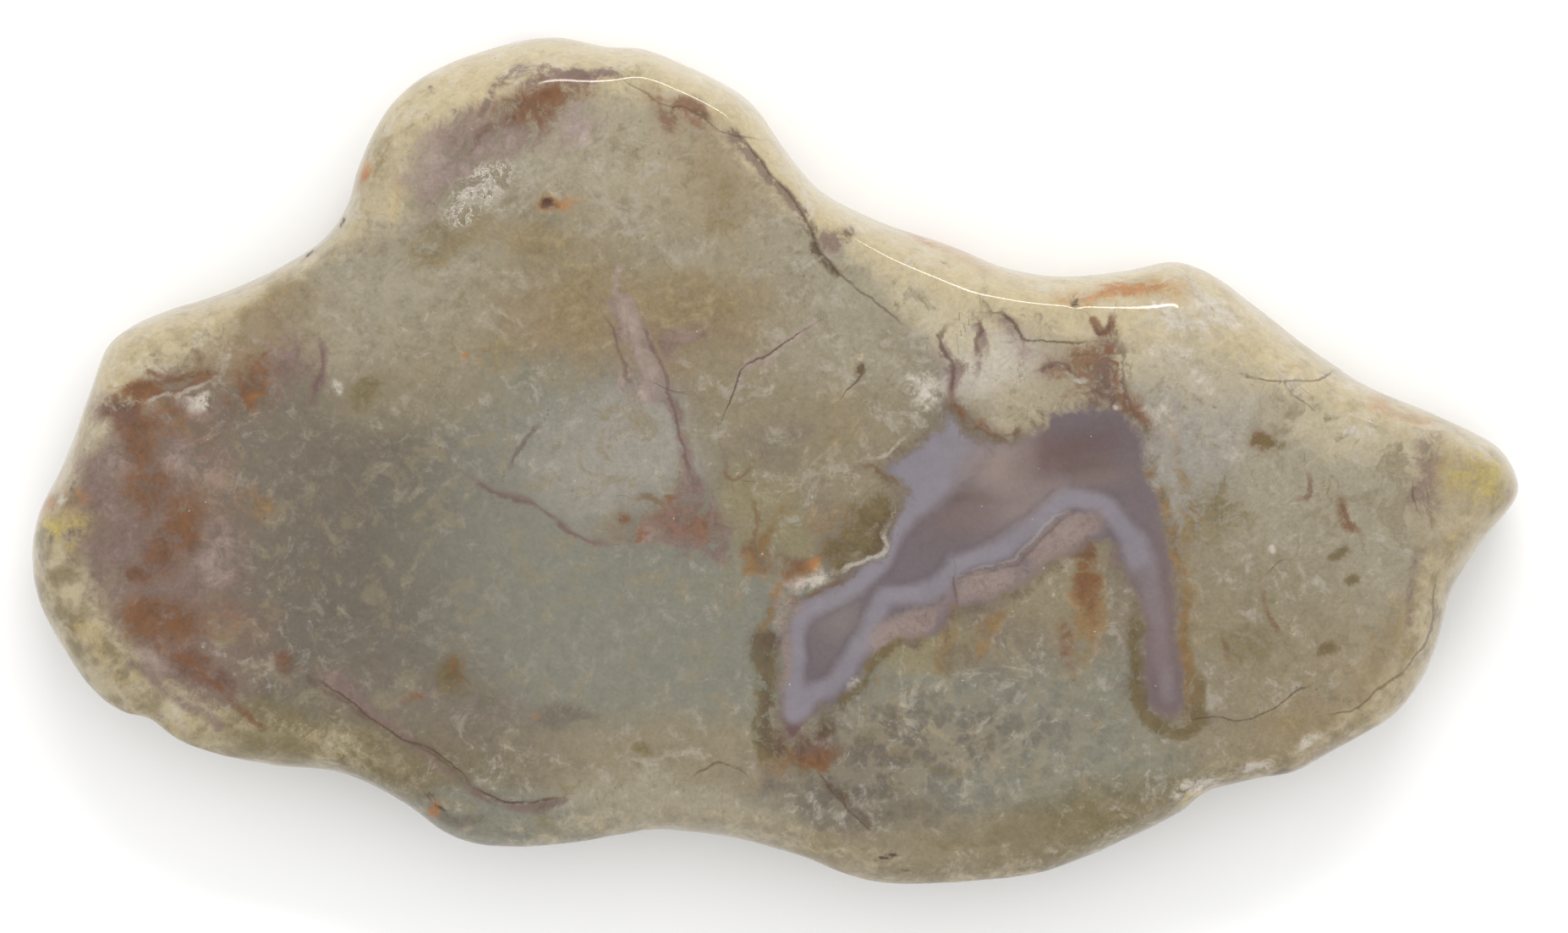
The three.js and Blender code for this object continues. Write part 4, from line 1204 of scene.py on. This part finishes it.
def pale_floor(colour):
    """A flat square of matt, pale board, faintly mottled."""
    s = Shader("pale_board")
    tone = s.mix(tuple(colour), tuple(c * 0.97 for c in colour), s.step(s.cloud(60, 3), -1, 1))
    mesh = bpy.data.meshes.new("floor")
    signs = ((-1, -1), (1, -1), (1, 1), (-1, 1))
    corners = [(x * FLOOR_HALF, y * FLOOR_HALF, 0) for x, y in signs]
    mesh.from_pydata(corners, [], [(0, 1, 2, 3)])
    mesh.materials.append(s.surface({"Base Color": tone, "Roughness": 0.9}))
    floor = bpy.data.objects.new("floor", mesh)
    bpy.context.scene.collection.objects.link(floor)


def soft_room(strength):
    """Even white light from all round."""
    world = bpy.data.worlds.new("soft_room")
    world.use_nodes = True
    background = world.node_tree.nodes["Background"]
    background.inputs["Color"].default_value = (1, 1, 1, 1)
    background.inputs["Strength"].default_value = strength
    bpy.context.scene.world = world


# Properties, operators and panel


class SlabSizes(bpy.types.PropertyGroup):
    thickness: bpy.props.FloatProperty(
        name="Thickness", description="Underside to the highest part of the face",
        default=9 * MM, min=4 * MM, max=20 * MM, subtype="DISTANCE", unit="LENGTH",
    )
    crown: bpy.props.FloatProperty(
        name="Crown", description="How much lower the face is at the rim than in the middle",
        default=0.7 * MM, min=0, max=3 * MM, subtype="DISTANCE", unit="LENGTH",
    )
    polish: bpy.props.FloatProperty(
        name="Roughness", description="Roughness of the polished face",
        default=0.1, min=0, max=1, subtype="FACTOR",
    )


def colour_property(name, description, default):
    return bpy.props.FloatVectorProperty(
        name=name, description=description, default=default, size=3, min=0, max=1, subtype="COLOR",
    )


class StoneColours(bpy.types.PropertyGroup):
    __annotations__ = {
        name: colour_property(name.capitalize(), f"Colour of the stone's {name} parts", shade)
        for name, shade in TINTS.items()
    }


class StageSettings(bpy.types.PropertyGroup):
    room: bpy.props.FloatProperty(
        name="Room light", description="Strength of the even light of the room",
        default=1.1, min=0,
    )
    key: bpy.props.FloatProperty(
        name="Key light", description="Power of the light behind the stone", default=1.0, min=0,
        subtype="POWER", unit="POWER",
    )
    floor: colour_property("Floor", "Colour of the floor", (0.97, 0.97, 0.97))


class COPROLITE_OT_slab(bpy.types.Operator):
    """Build the polished slab in place of the plain solid"""

    bl_idname = "coprolite.slab"
    bl_label = "Polished Slab"

    def execute(self, context):
        sizes = context.scene.slab_sizes
        colours = context.scene.stone_colours
        points, distance, sections = slab_rings(sizes)
        fields = slab_fields(points, distance, sections, colours)
        points = roughened(points, distance, sections).reshape(-1, 3)
        points[:, :2] -= (points[:, :2].min(0) + points[:, :2].max(0)) / 2
        faces = slab_triangles(len(distance), sections["spine_step"])
        mesh = mesh_from("polished_slab", points, faces, fields)
        mesh.materials.append(stone_material(colours, sizes.polish))
        slab = bpy.data.objects.new("polished_slab", mesh)
        context.scene.collection.objects.link(slab)
        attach(slab, "root")
        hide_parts(NODE)
        return {"FINISHED"}


class COPROLITE_OT_stage(bpy.types.Operator):
    """Set the pale floor, the soft lights and the camera that looks straight down"""

    bl_idname = "coprolite.stage"
    bl_label = "Stage"

    def execute(self, context):
        stage = context.scene.stage_settings
        pale_floor(stage.floor)
        soft_room(stage.room)
        key_light(stage.key)
        overhead_camera()
        view = context.scene.view_settings
        view.view_transform = "Standard"
        view.look = "None"
        return {"FINISHED"}


class COPROLITE_PT_panel(bpy.types.Panel):
    """The slab's sizes and colours, its stage, and the buttons that build them"""

    bl_idname = "COPROLITE_PT_panel"
    bl_label = "Coprolite Slab"
    bl_space_type = "VIEW_3D"
    bl_region_type = "UI"
    bl_category = "Coprolite"

    def draw(self, context):
        for title, group, operator in (
            ("Sizes", context.scene.slab_sizes, None),
            ("Colours", context.scene.stone_colours, "coprolite.slab"),
            ("Stage", context.scene.stage_settings, "coprolite.stage"),
        ):
            box = self.layout.box()
            box.label(text=title)
            for name in group.__annotations__:
                box.prop(group, name)
            if operator:
                box.operator(operator)


CLASSES = (
    SlabSizes, StoneColours, StageSettings,
    COPROLITE_OT_slab, COPROLITE_OT_stage, COPROLITE_PT_panel,
)


def register():
    for cls in CLASSES:
        bpy.utils.register_class(cls)
    bpy.types.Scene.slab_sizes = bpy.props.PointerProperty(type=SlabSizes)
    bpy.types.Scene.stone_colours = bpy.props.PointerProperty(type=StoneColours)
    bpy.types.Scene.stage_settings = bpy.props.PointerProperty(type=StageSettings)


def unregister():
    del bpy.types.Scene.stage_settings
    del bpy.types.Scene.stone_colours
    del bpy.types.Scene.slab_sizes
    for cls in reversed(CLASSES):
        bpy.utils.unregister_class(cls)


def main():
    register()
    bpy.ops.coprolite.slab()
    bpy.ops.coprolite.stage()


if __name__ == "__main__":
    main()
